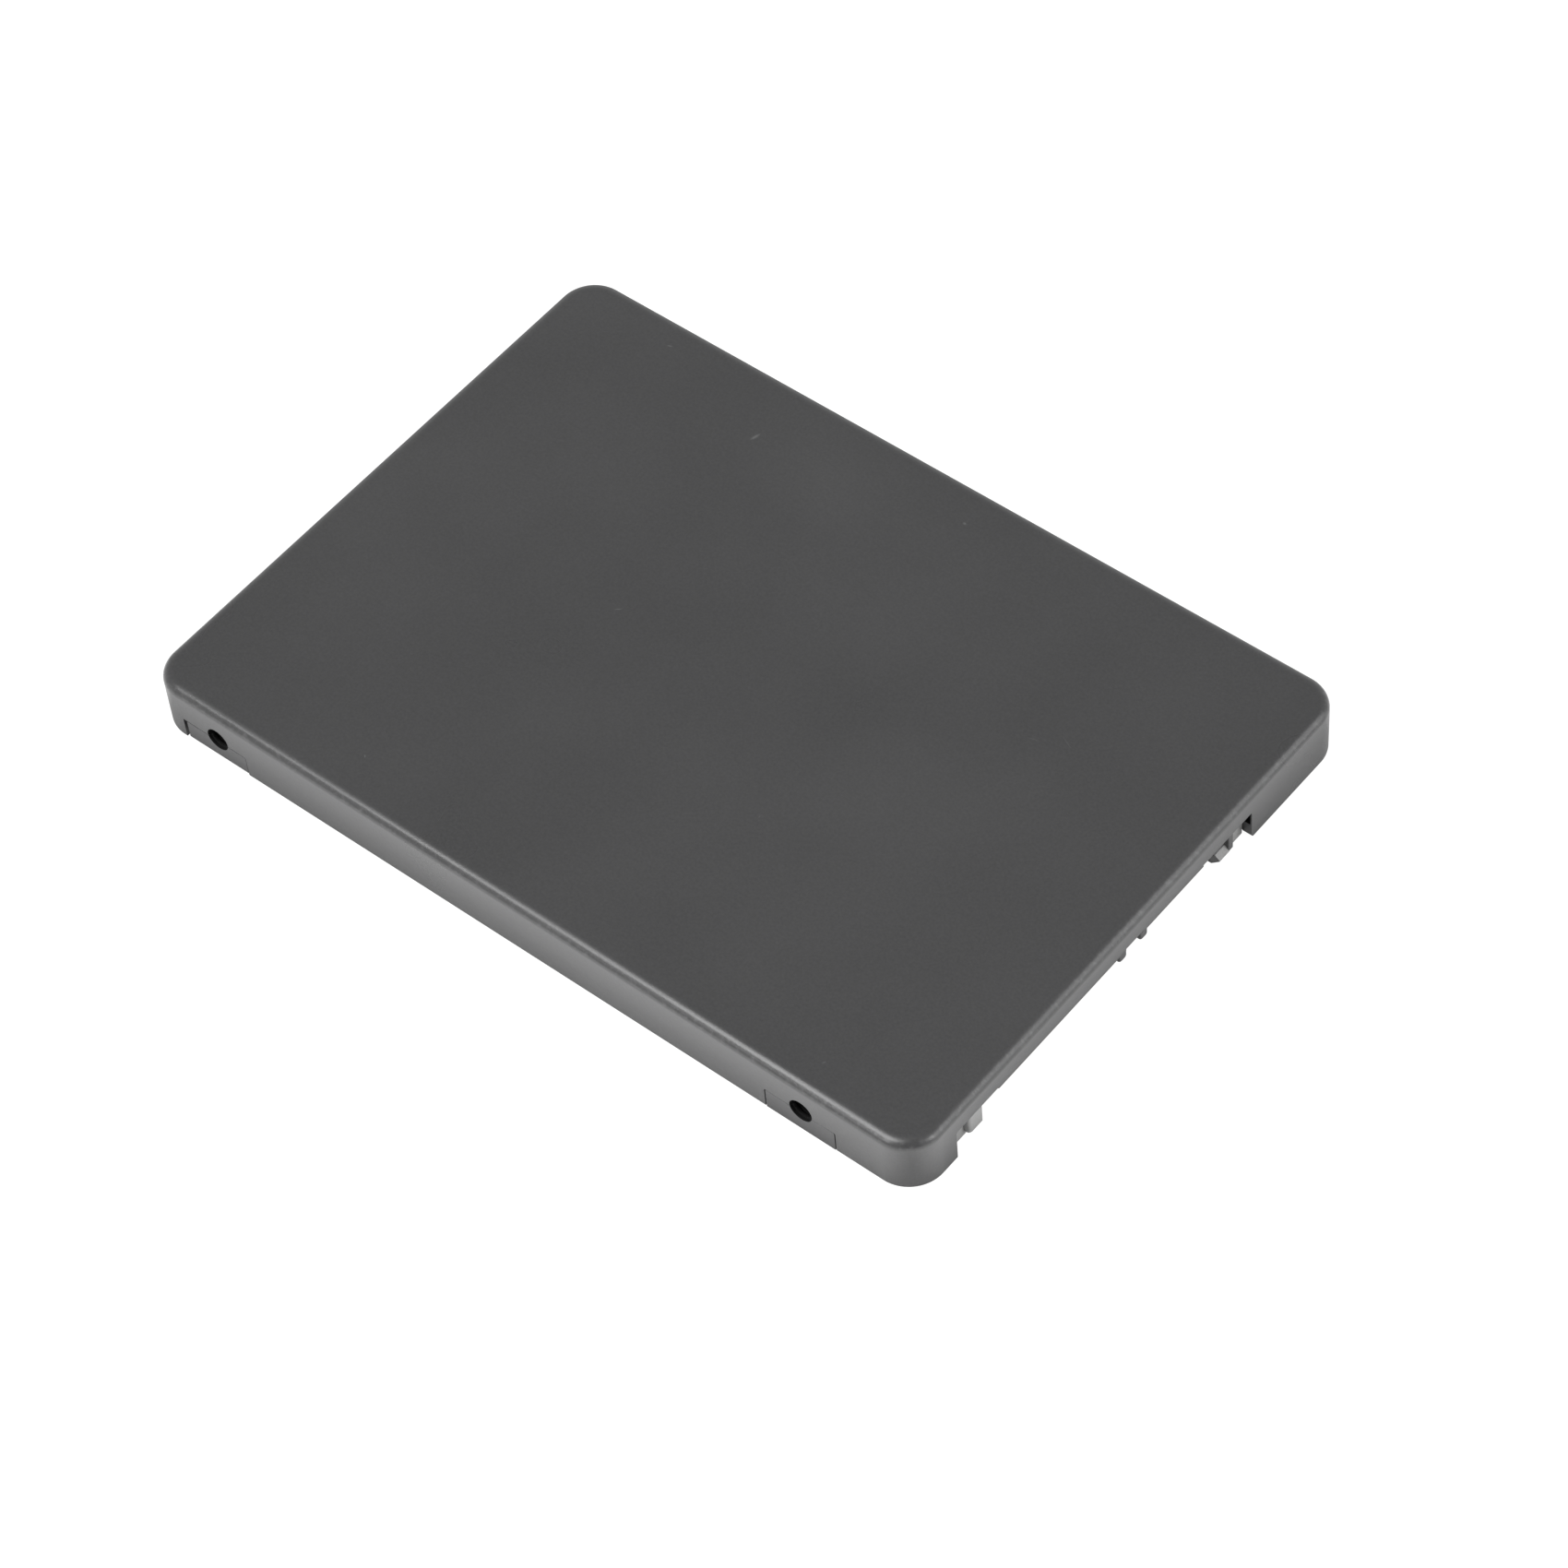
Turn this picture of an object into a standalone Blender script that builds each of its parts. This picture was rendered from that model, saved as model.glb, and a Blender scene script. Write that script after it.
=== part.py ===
"""2.5-inch solid state drive, 7 mm high, as an assembly of separate pieces.

Frame: origin at the centre of the bottom face, +X towards the SATA connector
end (the front), +Y across the drive, +Z up through the plain top cover.
Dimensions are in millimetres; meshes and object origins are in metres.
"""

import math

import bmesh
import bpy

for old_object in list(bpy.data.objects):
    bpy.data.objects.remove(old_object, do_unlink=True)
for old_mesh in list(bpy.data.meshes):
    bpy.data.meshes.remove(old_mesh)

# ---------------------------------------------------------------- shared dimensions
MM = 0.001

LENGTH = 100.0
WIDTH = 69.85
HEIGHT = 7.0
FRONT_X = LENGTH / 2
PLAN_RADIUS = 4.1  # vertical corner edges
WALL = 1.15  # skirt of the cover
RIB_THICKNESS = 0.8  # ribs of the cover and of the base
CUT_LOW = -1.0  # cutters open at the bottom start here, below the bottom face

# Screw positions of the 2.5-inch form factor, front pair first
SCREW_X = [FRONT_X - setback for setback in (14.0, 90.6)]
SIDE_HOLE_Z = 3.0
BOTTOM_HOLE_Y = 61.71 / 2
SCREW_CORE_R = 1.25  # core of an M3 thread
SIDE_DRILL_END_Y = 37.0  # side hole cutters end here, outside the drive

# Side lugs of the base, which fill notches in the cover's skirt
LUG_FRONT = (31.6, 40.1)
LUG_REAR = (-45.0, -36.8)
LUG_INNER_Y = 33.0
LUG_TOP = 2.75

# Connector opening in the front wall, and the plug inside it
MOUTH_Y = (-28.6, 18.95)
PLUG_SPAN = (-26.2, 16.4)

# Circuit board
BOARD_Z = (1.3, 2.3)
BOARD_X = (-24.0, 42.9)
BOARD_SCREWS = [(x, y) for x in (-20.5, 27.0) for y in (-28.3, 28.3)]
SEAT_GAP = 0.05  # between the board and the parts that meet it
SEAT_Z = BOARD_Z[1] + SEAT_GAP


# ---------------------------------------------------------------- spans and outlines
def around(centre, width):
    """The span of a given width about a centre."""
    return (centre - width / 2, centre + width / 2)


def both_sides(inner, outer):
    """A Y span on the -Y side and its mirror image on the +Y side."""
    return [(-outer, -inner), (inner, outer)]


def rounded(length, width, radius, steps=8):
    """Plan outline of a rectangle with round corners."""
    points = []
    for quarter, (sign_x, sign_y) in enumerate(((1, 1), (-1, 1), (-1, -1), (1, -1))):
        centre_x = sign_x * (length / 2 - radius)
        centre_y = sign_y * (width / 2 - radius)
        for i in range(steps + 1):
            angle = (quarter + i / steps) * math.pi / 2
            points.append(
                (centre_x + radius * math.cos(angle), centre_y + radius * math.sin(angle))
            )
    return points


# ---------------------------------------------------------------- shapes
def boxes(spans):
    """Closed boxes; each entry is its pairs x, y and z."""
    shape = bmesh.new()
    for box in spans:
        for vert in bmesh.ops.create_cube(shape, size=1.0)["verts"]:
            vert.co = [
                (low if c < 0 else high) * MM for c, (low, high) in zip(vert.co, box)
            ]
    return shape


def extrude(shape, corners, axis, end):
    """A closed solid: the face through the corners drawn out to end along axis."""
    face = shape.faces.new([shape.verts.new([c * MM for c in p]) for p in corners])
    made = bmesh.ops.extrude_face_region(shape, geom=[face])["geom"]
    for item in made:
        if isinstance(item, bmesh.types.BMVert):
            item.co[axis] = end * MM


def prism(outline, z):
    """A plan outline drawn up along Z."""
    shape = bmesh.new()
    extrude(shape, [(x, y, z[0]) for x, y in outline], 2, z[1])
    return shape


def strips(profile, y_spans):
    """An outline in X and Z drawn out along Y, once for each span."""
    shape = bmesh.new()
    for start, end in y_spans:
        extrude(shape, [(x, start, z) for x, z in profile], 1, end)
    return shape


def cylinders(places, radius, axis="Z", steps=32):
    """Closed cylinders along Z or Y; a place is the two other coordinates and a span."""
    shape = bmesh.new()
    for centre, (low, high) in places:
        made = bmesh.ops.create_cone(
            shape,
            cap_ends=True,
            segments=steps,
            radius1=radius * MM,
            radius2=radius * MM,
            depth=(high - low) * MM,
        )["verts"]
        middle = (low + high) / 2 * MM
        for vert in made:
            x, y, z = vert.co
            x += centre[0] * MM
            y += centre[1] * MM
            z += middle
            vert.co = (x, y, z) if axis == "Z" else (x, z, y)
    return shape


def side_drills(radius, inner_y):
    """Cylinders through the four side screw holes."""
    spans = both_sides(inner_y, SIDE_DRILL_END_Y)
    places = [((x, SIDE_HOLE_Z), span) for x in SCREW_X for span in spans]
    return cylinders(places, radius, "Y")


def board_screw_pins(radius, z, steps):
    """Upright cylinders at the four board screws."""
    return cylinders([(centre, z) for centre in BOARD_SCREWS], radius, "Z", steps)


def edges_above(shape, z):
    return [e for e in shape.edges if all(vert.co.z > z * MM for vert in e.verts)]


# ---------------------------------------------------------------- objects
def finish_mesh(name, shape, smooth_deg=None):
    """Turn a shape into a mesh, smooth-shaded up to an angle if one is given."""
    bmesh.ops.recalc_face_normals(shape, faces=shape.faces)
    mesh = bpy.data.meshes.new(name)
    shape.to_mesh(mesh)
    shape.free()
    if smooth_deg:
        mesh.shade_smooth()
        mesh.set_sharp_from_angle(angle=math.radians(smooth_deg))
    return mesh


def place(name, mesh, mat=None, at=(0, 0, 0), parent=None):
    obj = bpy.data.objects.new(name, mesh)
    bpy.context.scene.collection.objects.link(obj)
    obj.location = [c * MM for c in at]
    if mat:
        mesh.materials.clear()  # copies of one mesh share its material slot
        mesh.materials.append(mat)
    if parent:
        obj.parent = parent
    return obj


def boolean(target, name, shape, operation):
    """Make the shape a hidden helper and apply it to the target by a modifier."""
    helper = place(name, finish_mesh(name, shape))
    helper.hide_render = True
    helper.display_type = "WIRE"
    modifier = target.modifiers.new(name, "BOOLEAN")
    modifier.operation = operation
    modifier.solver = "EXACT"
    modifier.object = helper


def cut(target, name, shape):
    boolean(target, name, shape, "DIFFERENCE")


def join(target, name, shape):
    boolean(target, name, shape, "UNION")


def block(name, mat, size, at, parent, chamfer=0.0):
    """A rectangular part with its origin at its centre and chamfered top edges."""
    shape = boxes([[around(0, side) for side in size]])
    if chamfer:
        bmesh.ops.bevel(
            shape,
            geom=edges_above(shape, 0),
            offset=chamfer * MM,
            segments=1,
            affect="EDGES",
        )
    place(name, finish_mesh(name, shape), mat, at, parent)


def assembly(name):
    empty = bpy.data.objects.new(name, None)
    bpy.context.scene.collection.objects.link(empty)
    return empty


# ---------------------------------------------------------------- materials
def material(name, rgb, roughness, metallic=0.0):
    mat = bpy.data.materials.new(name)
    mat.use_nodes = True
    shader = mat.node_tree.nodes["Principled BSDF"]
    shader.inputs["Base Color"].default_value = (*rgb, 1.0)
    shader.inputs["Roughness"].default_value = roughness
    shader.inputs["Metallic"].default_value = metallic
    mat.diffuse_color = (*rgb, 1.0)
    return mat


CASE = material("case_plastic", rgb=(0.075, 0.075, 0.077), roughness=0.42)
BASE = material("base_plastic", rgb=(0.09, 0.09, 0.092), roughness=0.5)
PLUG = material("plug_plastic", rgb=(0.42, 0.42, 0.41), roughness=0.45)
GOLD = material("contact_gold", rgb=(0.83, 0.62, 0.25), roughness=0.25, metallic=1.0)
TIN = material("tinned_steel", rgb=(0.68, 0.68, 0.66), roughness=0.35, metallic=1.0)
BOARD = material("board_laminate", rgb=(0.012, 0.09, 0.035), roughness=0.4)
CHIP = material("chip_epoxy", rgb=(0.02, 0.02, 0.021), roughness=0.55)
FERRITE = material("inductor_ferrite", rgb=(0.07, 0.07, 0.072), roughness=0.6)
CERAMIC = material("capacitor_ceramic", rgb=(0.36, 0.24, 0.14), roughness=0.5)
POLYMER = material("capacitor_polymer", rgb=(0.05, 0.05, 0.055), roughness=0.5)
CAN = material("crystal_can", rgb=(0.72, 0.7, 0.64), roughness=0.3, metallic=1.0)
SCREW = material("zinc_screw", rgb=(0.62, 0.62, 0.63), roughness=0.3, metallic=1.0)
PAD = material("thermal_pad", rgb=(0.32, 0.42, 0.52), roughness=0.8)
PAPER = material("label_film", rgb=(0.62, 0.62, 0.62), roughness=0.6)

BASE_UNIT = assembly("base_unit")
COVER_UNIT = assembly("cover_unit")

# ---------------------------------------------------------------- top cover
TOP_RADIUS = 1.3  # rim between the top face and the sides
CEILING_Z = HEIGHT - 1.0
COVER_RIB_X = (-46.0, -26.0)
COVER_RIB_Y = (-24.0, -8.0, 8.0, 24.0)
COVER_RIB_Z = (5.2, CEILING_Z + 0.3)  # roots sunk into the top
CROSS_RIB_X = -26.6
CROSS_RIB_Y = (-29.0, 29.0)
MOUTH_X = (47.5, 51.0)
MOUTH_TOP = 4.1
HOOK_POCKET = ((48.0, 49.75), (MOUTH_Y[1] - 0.5, MOUTH_Y[1] + 1.8), (2.05, MOUTH_TOP))
SLIT = 0.15  # parting gap round a lug
REAR_SLIT = 0.4  # wider gap at the rear lug's rear side
NOTCH_OUTER_Y = 36.0
NOTCH_Z = (CUT_LOW, LUG_TOP + 0.1)
COVER_HOLE_CLEARANCE = 0.03
COVER_DRILL_INNER_Y = 32.0


def build_cover():
    shape = prism(rounded(LENGTH, WIDTH, PLAN_RADIUS), (0.0, HEIGHT))
    bmesh.ops.bevel(
        shape,
        geom=edges_above(shape, HEIGHT / 2),
        offset=TOP_RADIUS * MM,
        segments=5,
        profile=0.5,
        affect="EDGES",
    )
    cover = place("top_cover", finish_mesh("top_cover", shape, 35), CASE, parent=COVER_UNIT)

    cavity = rounded(LENGTH - 2 * WALL, WIDTH - 2 * WALL, PLAN_RADIUS - WALL)
    cut(cover, "cut_cover_cavity", prism(cavity, (CUT_LOW, CEILING_Z)))

    # stiffening ribs under the top face
    ribs = [(COVER_RIB_X, around(y, RIB_THICKNESS), COVER_RIB_Z) for y in COVER_RIB_Y]
    join(cover, "add_cover_ribs", boxes(ribs))
    cross_rib = (around(CROSS_RIB_X, RIB_THICKNESS), CROSS_RIB_Y, COVER_RIB_Z)
    join(cover, "add_cover_cross_rib", boxes([cross_rib]))

    cut(cover, "cut_connector_mouth", boxes([(MOUTH_X, MOUTH_Y, (CUT_LOW, MOUTH_TOP))]))
    # pocket at the mouth's +Y edge
    cut(cover, "cut_hook_pocket", boxes([HOOK_POCKET]))

    front = (LUG_FRONT[0] - SLIT, LUG_FRONT[1] + SLIT)
    rear = (LUG_REAR[0] - REAR_SLIT, LUG_REAR[1] + SLIT)
    sides = both_sides(LUG_INNER_Y, NOTCH_OUTER_Y)
    notches = [(x, y, NOTCH_Z) for y in sides for x in (front, rear)]
    cut(cover, "cut_lug_notches", boxes(notches))

    drills = side_drills(SCREW_CORE_R + COVER_HOLE_CLEARANCE, COVER_DRILL_INNER_Y)
    cut(cover, "cut_cover_side_holes", drills)


# ---------------------------------------------------------------- base shell
SKIRT_GAP = 0.18  # between the cover's skirt and the base shell
BASE_LENGTH = LENGTH - 2 * (WALL + SKIRT_GAP)
BASE_WIDTH = WIDTH - 2 * (WALL + SKIRT_GAP)
BASE_RADIUS = PLAN_RADIUS - WALL - SKIRT_GAP
FLOOR_THICKNESS = 1.0
RIM_THICKNESS = 0.9
RIM_TOP = 2.7
ROOT_Z = 0.5  # features on the floor start inside its thickness

END_PAD_X = (47.9, 48.88)
END_PAD_GAP = 0.2  # to the sides of the mouth
END_PAD_OVERLAP = 1.0  # into the width of the plug

BOSS_TOP = 5.2
BOSS_INNER_Y = 26.9
BOSS_INSET = 0.02  # from the base shell's sides
REAR_LUG_LOW = 0.35

STANDOFF_R = 2.2

TRAY_RIB_X = (-47.9, -26.0)
TRAY_RIB_Y = (-20.0, -10.0, 0.0, 10.0, 20.0)
TRAY_RIB_Z = (ROOT_Z, 2.2)
# x, half length; the rearmost stops between the rear bosses
TRAY_CROSS_RIBS = [(-42.0, 26.5), (-35.0, 32.9), (-28.0, 32.9)]

PLUG_BAY = (
    (BOARD_X[1] + SEAT_GAP, 52.0),
    (PLUG_SPAN[0] - 0.3, PLUG_SPAN[1] + 0.4),
    (CUT_LOW, 6.0),
)
BASE_DRILL_INNER_Y = 31.0
BOTTOM_HOLE_Z = (CUT_LOW, 3.7)
PILOT_HOLE_R = 0.95  # under a board screw
PILOT_HOLE_Z = (0.3, 3.0)

LABEL_CENTRE_X = -3.0
LABEL_RECESS = (60.0, 46.0)
LABEL_RECESS_DEPTH = 0.25
LABEL_MARGIN = 0.3
LABEL_THICKNESS = 0.15


def build_base():
    outer = rounded(BASE_LENGTH, BASE_WIDTH, BASE_RADIUS)
    mesh = finish_mesh("base_shell", prism(outer, (0.0, RIM_TOP)), 35)
    base = place("base_shell", mesh, BASE, parent=BASE_UNIT)
    tray = rounded(
        BASE_LENGTH - 2 * RIM_THICKNESS,
        BASE_WIDTH - 2 * RIM_THICKNESS,
        BASE_RADIUS - RIM_THICKNESS,
    )
    cut(base, "cut_tray", prism(tray, (FLOOR_THICKNESS, RIM_TOP + 2.0)))

    # front wall brought forward on both sides of the plug, inside the mouth
    pad_spans = (
        (MOUTH_Y[0] + END_PAD_GAP, PLUG_SPAN[0] + END_PAD_OVERLAP),
        (PLUG_SPAN[1] - END_PAD_OVERLAP, MOUTH_Y[1] - END_PAD_GAP),
    )
    pads = [(END_PAD_X, y, (0.0, RIM_TOP - 0.1)) for y in pad_spans]
    join(base, "add_end_wall_pads", boxes(pads))

    sides = both_sides(BOSS_INNER_Y, BASE_WIDTH / 2 - BOSS_INSET)
    bosses = [(x, y, (ROOT_Z, BOSS_TOP)) for y in sides for x in (LUG_FRONT, LUG_REAR)]
    join(base, "add_screw_bosses", boxes(bosses))
    lugs = [
        (x, y, (low, LUG_TOP))
        for y in both_sides(LUG_INNER_Y, WIDTH / 2)
        for x, low in ((LUG_FRONT, 0.0), (LUG_REAR, REAR_LUG_LOW))
    ]
    join(base, "add_side_lugs", boxes(lugs))

    standoffs = board_screw_pins(STANDOFF_R, (ROOT_Z, BOARD_Z[0] - SEAT_GAP), 24)
    join(base, "add_board_standoffs", standoffs)

    # lattice of ribs that stiffens the tray behind the board
    ribs = [(TRAY_RIB_X, around(y, RIB_THICKNESS), TRAY_RIB_Z) for y in TRAY_RIB_Y]
    join(base, "add_tray_ribs_long", boxes(ribs))
    ribs = [
        (around(x, RIB_THICKNESS), (-half, half), TRAY_RIB_Z) for x, half in TRAY_CROSS_RIBS
    ]
    join(base, "add_tray_ribs_cross", boxes(ribs))

    cut(base, "cut_plug_bay", boxes([PLUG_BAY]))
    cut(base, "cut_side_threads", side_drills(SCREW_CORE_R, BASE_DRILL_INNER_Y))
    holes = [
        ((x, y), BOTTOM_HOLE_Z) for x in SCREW_X for y in (-BOTTOM_HOLE_Y, BOTTOM_HOLE_Y)
    ]
    cut(base, "cut_bottom_threads", cylinders(holes, SCREW_CORE_R))
    cut(base, "cut_board_screw_holes", board_screw_pins(PILOT_HOLE_R, PILOT_HOLE_Z, 20))
    recess = (
        around(LABEL_CENTRE_X, LABEL_RECESS[0]),
        around(0.0, LABEL_RECESS[1]),
        (CUT_LOW, LABEL_RECESS_DEPTH),
    )
    cut(base, "cut_label_recess", boxes([recess]))


def build_label():
    """Film label, midway in the depth of its recess."""
    length, width = (side - 2 * LABEL_MARGIN for side in LABEL_RECESS)
    centre = (LABEL_CENTRE_X, 0.0, LABEL_RECESS_DEPTH / 2)
    block("bottom_label", PAPER, (length, width, LABEL_THICKNESS), centre, BASE_UNIT)


# ---------------------------------------------------------------- circuit board
BOARD_HALF_W = 31.8
NECK_X = 30.8  # the board is narrower in front of this
NECK_HALF_W = 26.2
BOARD_HOLE_R = 1.15


def build_board():
    half = [
        (BOARD_X[0], -BOARD_HALF_W),
        (NECK_X, -BOARD_HALF_W),
        (NECK_X, -NECK_HALF_W),
        (BOARD_X[1], -NECK_HALF_W),
    ]
    outline = half + [(x, -y) for x, y in reversed(half)]
    mesh = finish_mesh("main_pcb", prism(outline, BOARD_Z))
    board = place("main_pcb", mesh, BOARD, parent=BASE_UNIT)
    cut(board, "cut_board_holes", board_screw_pins(BOARD_HOLE_R, (0.0, 4.0), 24))


# ---------------------------------------------------------------- SATA plug
HOUSING_LOW = 0.95
# x, z; the rear part stands on the board, the front part drops past its edge
HOUSING_PROFILE = [
    (41.0, SEAT_Z),
    (43.2, SEAT_Z),
    (43.2, HOUSING_LOW),
    (44.1, HOUSING_LOW),
    (44.1, 5.2),
    (41.0, 5.2),
]
ROOT_X = 43.6  # tongues, keys and arms start inside the housing

POWER_TONGUE = (-21.495, -0.815)
SIGNAL_TONGUE = (1.485, 11.895)
TONGUE_LOW, TONGUE_HIGH = around(3.15, 1.23)
TONGUE_TIP_X = FRONT_X - 0.57
TONGUE_PROFILE = [  # x, z
    (ROOT_X, TONGUE_LOW),
    (TONGUE_TIP_X - 0.15, TONGUE_LOW),
    (TONGUE_TIP_X, TONGUE_LOW + 0.05),
    (TONGUE_TIP_X, TONGUE_HIGH - 0.3),
    (TONGUE_TIP_X - 0.5, TONGUE_HIGH),
    (ROOT_X, TONGUE_HIGH),
]

# Coding keys hang below the facing ends of the two tongues
KEY_WIDTH = 1.1
KEY_LOW = TONGUE_HIGH - 2.4
KEY_TOP = 3.0  # inside the tongue
KEY_TIP_X = FRONT_X - 0.67
KEY_PROFILE = [  # x, z
    (ROOT_X, KEY_LOW),
    (KEY_TIP_X - 0.15, KEY_LOW),
    (KEY_TIP_X, KEY_LOW + 0.15),
    (KEY_TIP_X, KEY_TOP),
    (ROOT_X, KEY_TOP),
]

GUIDE_TIP_X = 49.6
GUIDE_ARMS = [  # x, y, z spans: power end, signal end
    ((ROOT_X, GUIDE_TIP_X), (PLUG_SPAN[0], -24.1), (0.75, 3.95)),
    ((ROOT_X, GUIDE_TIP_X), (15.65, PLUG_SPAN[1]), (HOUSING_LOW, 3.95)),
]
SIGNAL_GUIDE_BODY = ((ROOT_X, 49.1), (13.85, 15.9), (0.97, 3.9))
SIGNAL_STEP_OUTLINE = [  # x, y
    (43.7, 13.45),
    (49.05, 13.45),
    (GUIDE_TIP_X, 14.05),
    (GUIDE_TIP_X, 15.8),
    (43.7, 15.8),
]
SIGNAL_STEP_Z = (HOUSING_LOW, 1.5)

CONTACT_PITCH = 1.27
CONTACT_WIDTH = 0.84
CONTACT_T = 0.185
# letter, y of the middle contact, number of contacts, numbers of the long ones
CONTACT_ROWS = [
    ("s", 7.24, 7, (1, 4, 7)),
    ("p", -11.705, 15, (4, 12)),
]
LOCKS = [("board_lock_power_end", -24.6), ("board_lock_signal_end", 14.8)]  # name, y
LOCK_WIDTH = 1.7
SLOT_CLEARANCE = 0.05  # on each side of a contact or lock
SLOT_REAR_X = 40.0
SLOT_Z = (2.0, TONGUE_LOW + 0.25)
CHANNEL_FRONT_X = 48.75
LOCK_SLOT_FRONT_X = 42.6

LONG_CONTACT_X = 48.6  # front ends of the blades
SHORT_CONTACT_X = 48.1
LOCK_X = 42.5
BLADE_LOW = TONGUE_LOW + 0.01
TAIL_END_X = 38.7
# underside of the slope between tail and blade
TAIL_BEND_X = 40.1
BLADE_BEND_X = 40.8
BEND_SHIFT = 0.1  # the slope's upper side lies this far forward of its underside


def row_y(middle, count):
    """Y of each contact in a row, number 1 at the +Y end."""
    return [middle + CONTACT_PITCH * (count // 2 - i) for i in range(count)]


def build_plug():
    mesh = finish_mesh("sata_plug_housing", strips(HOUSING_PROFILE, [PLUG_SPAN]))
    plug = place("sata_plug_housing", mesh, PLUG, parent=BASE_UNIT)
    join(plug, "add_tongues", strips(TONGUE_PROFILE, [POWER_TONGUE, SIGNAL_TONGUE]))
    key_spans = [
        (POWER_TONGUE[1] - KEY_WIDTH, POWER_TONGUE[1]),
        (SIGNAL_TONGUE[0], SIGNAL_TONGUE[0] + KEY_WIDTH),
    ]
    join(plug, "add_coding_keys", strips(KEY_PROFILE, key_spans))
    join(plug, "add_guide_arms", boxes(GUIDE_ARMS))
    join(plug, "add_signal_guide_body", boxes([SIGNAL_GUIDE_BODY]))
    # low step with a bevelled front corner on the side facing the tongues
    join(plug, "add_signal_guide_step", prism(SIGNAL_STEP_OUTLINE, SIGNAL_STEP_Z))

    width = CONTACT_WIDTH + 2 * SLOT_CLEARANCE
    channels = [
        ((SLOT_REAR_X, CHANNEL_FRONT_X), around(y, width), SLOT_Z)
        for _, middle, count, _ in CONTACT_ROWS
        for y in row_y(middle, count)
    ]
    cut(plug, "cut_contact_channels", boxes(channels))
    width = LOCK_WIDTH + 2 * SLOT_CLEARANCE
    slots = [((SLOT_REAR_X, LOCK_SLOT_FRONT_X), around(y, width), SLOT_Z) for _, y in LOCKS]
    cut(plug, "cut_lock_slots", boxes(slots))


def contact_mesh(name, front, width):
    """A blade in its channel and a tail that drops to the board behind."""
    blade_top = BLADE_LOW + CONTACT_T
    tail_top = SEAT_Z + CONTACT_T
    profile = [
        (front, BLADE_LOW + 0.04),
        (front, blade_top),
        (BLADE_BEND_X + BEND_SHIFT, blade_top),
        (TAIL_BEND_X + BEND_SHIFT, tail_top),
        (TAIL_END_X, tail_top),
        (TAIL_END_X, SEAT_Z),
        (TAIL_BEND_X, SEAT_Z),
        (BLADE_BEND_X, BLADE_LOW),
        (front - 0.2, BLADE_LOW),
    ]
    return finish_mesh(name, strips(profile, [around(0, width)]))


def build_contacts():
    long_blade = contact_mesh("contact_long", LONG_CONTACT_X, CONTACT_WIDTH)
    short_blade = contact_mesh("contact_short", SHORT_CONTACT_X, CONTACT_WIDTH)
    for letter, middle, count, long_numbers in CONTACT_ROWS:
        for i, y in enumerate(row_y(middle, count), 1):
            mesh = long_blade if i in long_numbers else short_blade
            place(f"sata_contact_{letter}{i}", mesh, GOLD, (0, y, 0), BASE_UNIT)
    lock_blade = contact_mesh("board_lock_blade", LOCK_X, LOCK_WIDTH)
    for name, y in LOCKS:
        place(name, lock_blade, TIN, (0, y, 0), BASE_UNIT)


# ---------------------------------------------------------------- parts on the board
PART_LOW = BOARD_Z[1] + 0.1
CONTROLLER_AT = (23.5, 2.0)
NAND = (14.0, 18.0, 1.05)
INDUCTOR = (4.2, 4.2, 2.0)
POLYMER_CAP = (7.3, 4.3, 1.9)
CERAMIC_CAP = (1.6, 3.2, 1.3)
# name, material, (x, y) of the centre, (x, y, z) size, chamfer
BOARD_PARTS = [
    ("controller_chip", CHIP, CONTROLLER_AT, (14.0, 14.0, 1.1), 0.1),
    ("dram_chip", CHIP, (22.5, 17.5), (8.0, 11.0, 1.0), 0.1),
    ("nand_flash_1", CHIP, (-13.0, 13.0), NAND, 0.1),
    ("nand_flash_2", CHIP, (-13.0, -13.0), NAND, 0.1),
    ("nand_flash_3", CHIP, (5.0, 13.0), NAND, 0.1),
    ("nand_flash_4", CHIP, (5.0, -13.0), NAND, 0.1),
    ("firmware_flash_chip", CHIP, (19.6, -10.5), (5.0, 4.0, 1.4), 0.15),
    ("power_management_chip", CHIP, (29.5, -12.5), (4.0, 4.0, 0.85), 0.0),
    ("power_inductor_1", FERRITE, (29.5, -19.5), INDUCTOR, 0.3),
    ("power_inductor_2", FERRITE, (35.0, -19.5), INDUCTOR, 0.3),
    ("polymer_capacitor_1", POLYMER, (20.5, -18.0), POLYMER_CAP, 0.2),
    ("polymer_capacitor_2", POLYMER, (20.5, -24.5), POLYMER_CAP, 0.2),
    ("crystal_oscillator", CAN, (34.4, 4.5), (2.5, 3.2, 0.8), 0.1),
    ("ceramic_capacitor_1", CERAMIC, (35.6, -12.0), CERAMIC_CAP, 0.0),
    ("ceramic_capacitor_2", CERAMIC, (35.6, -7.5), CERAMIC_CAP, 0.0),
    ("ceramic_capacitor_3", CERAMIC, (35.0, 12.5), CERAMIC_CAP, 0.0),
    ("ceramic_capacitor_4", CERAMIC, (35.0, 19.0), CERAMIC_CAP, 0.0),
]
PAD_SIZE = (13.0, 13.0, 2.36)
PAD_Z = 4.77  # centre


def build_board_parts():
    for name, mat, (x, y), size, chamfer in BOARD_PARTS:
        block(name, mat, size, (x, y, PART_LOW + size[2] / 2), BASE_UNIT, chamfer)


def build_thermal_pad():
    """Carries heat from the controller to the cover; it stays on the cover."""
    block("thermal_pad", PAD, PAD_SIZE, (*CONTROLLER_AT, PAD_Z), COVER_UNIT)


# ---------------------------------------------------------------- board screws
SHANK_R = 0.80
SHANK_LOW = 0.40
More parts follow.
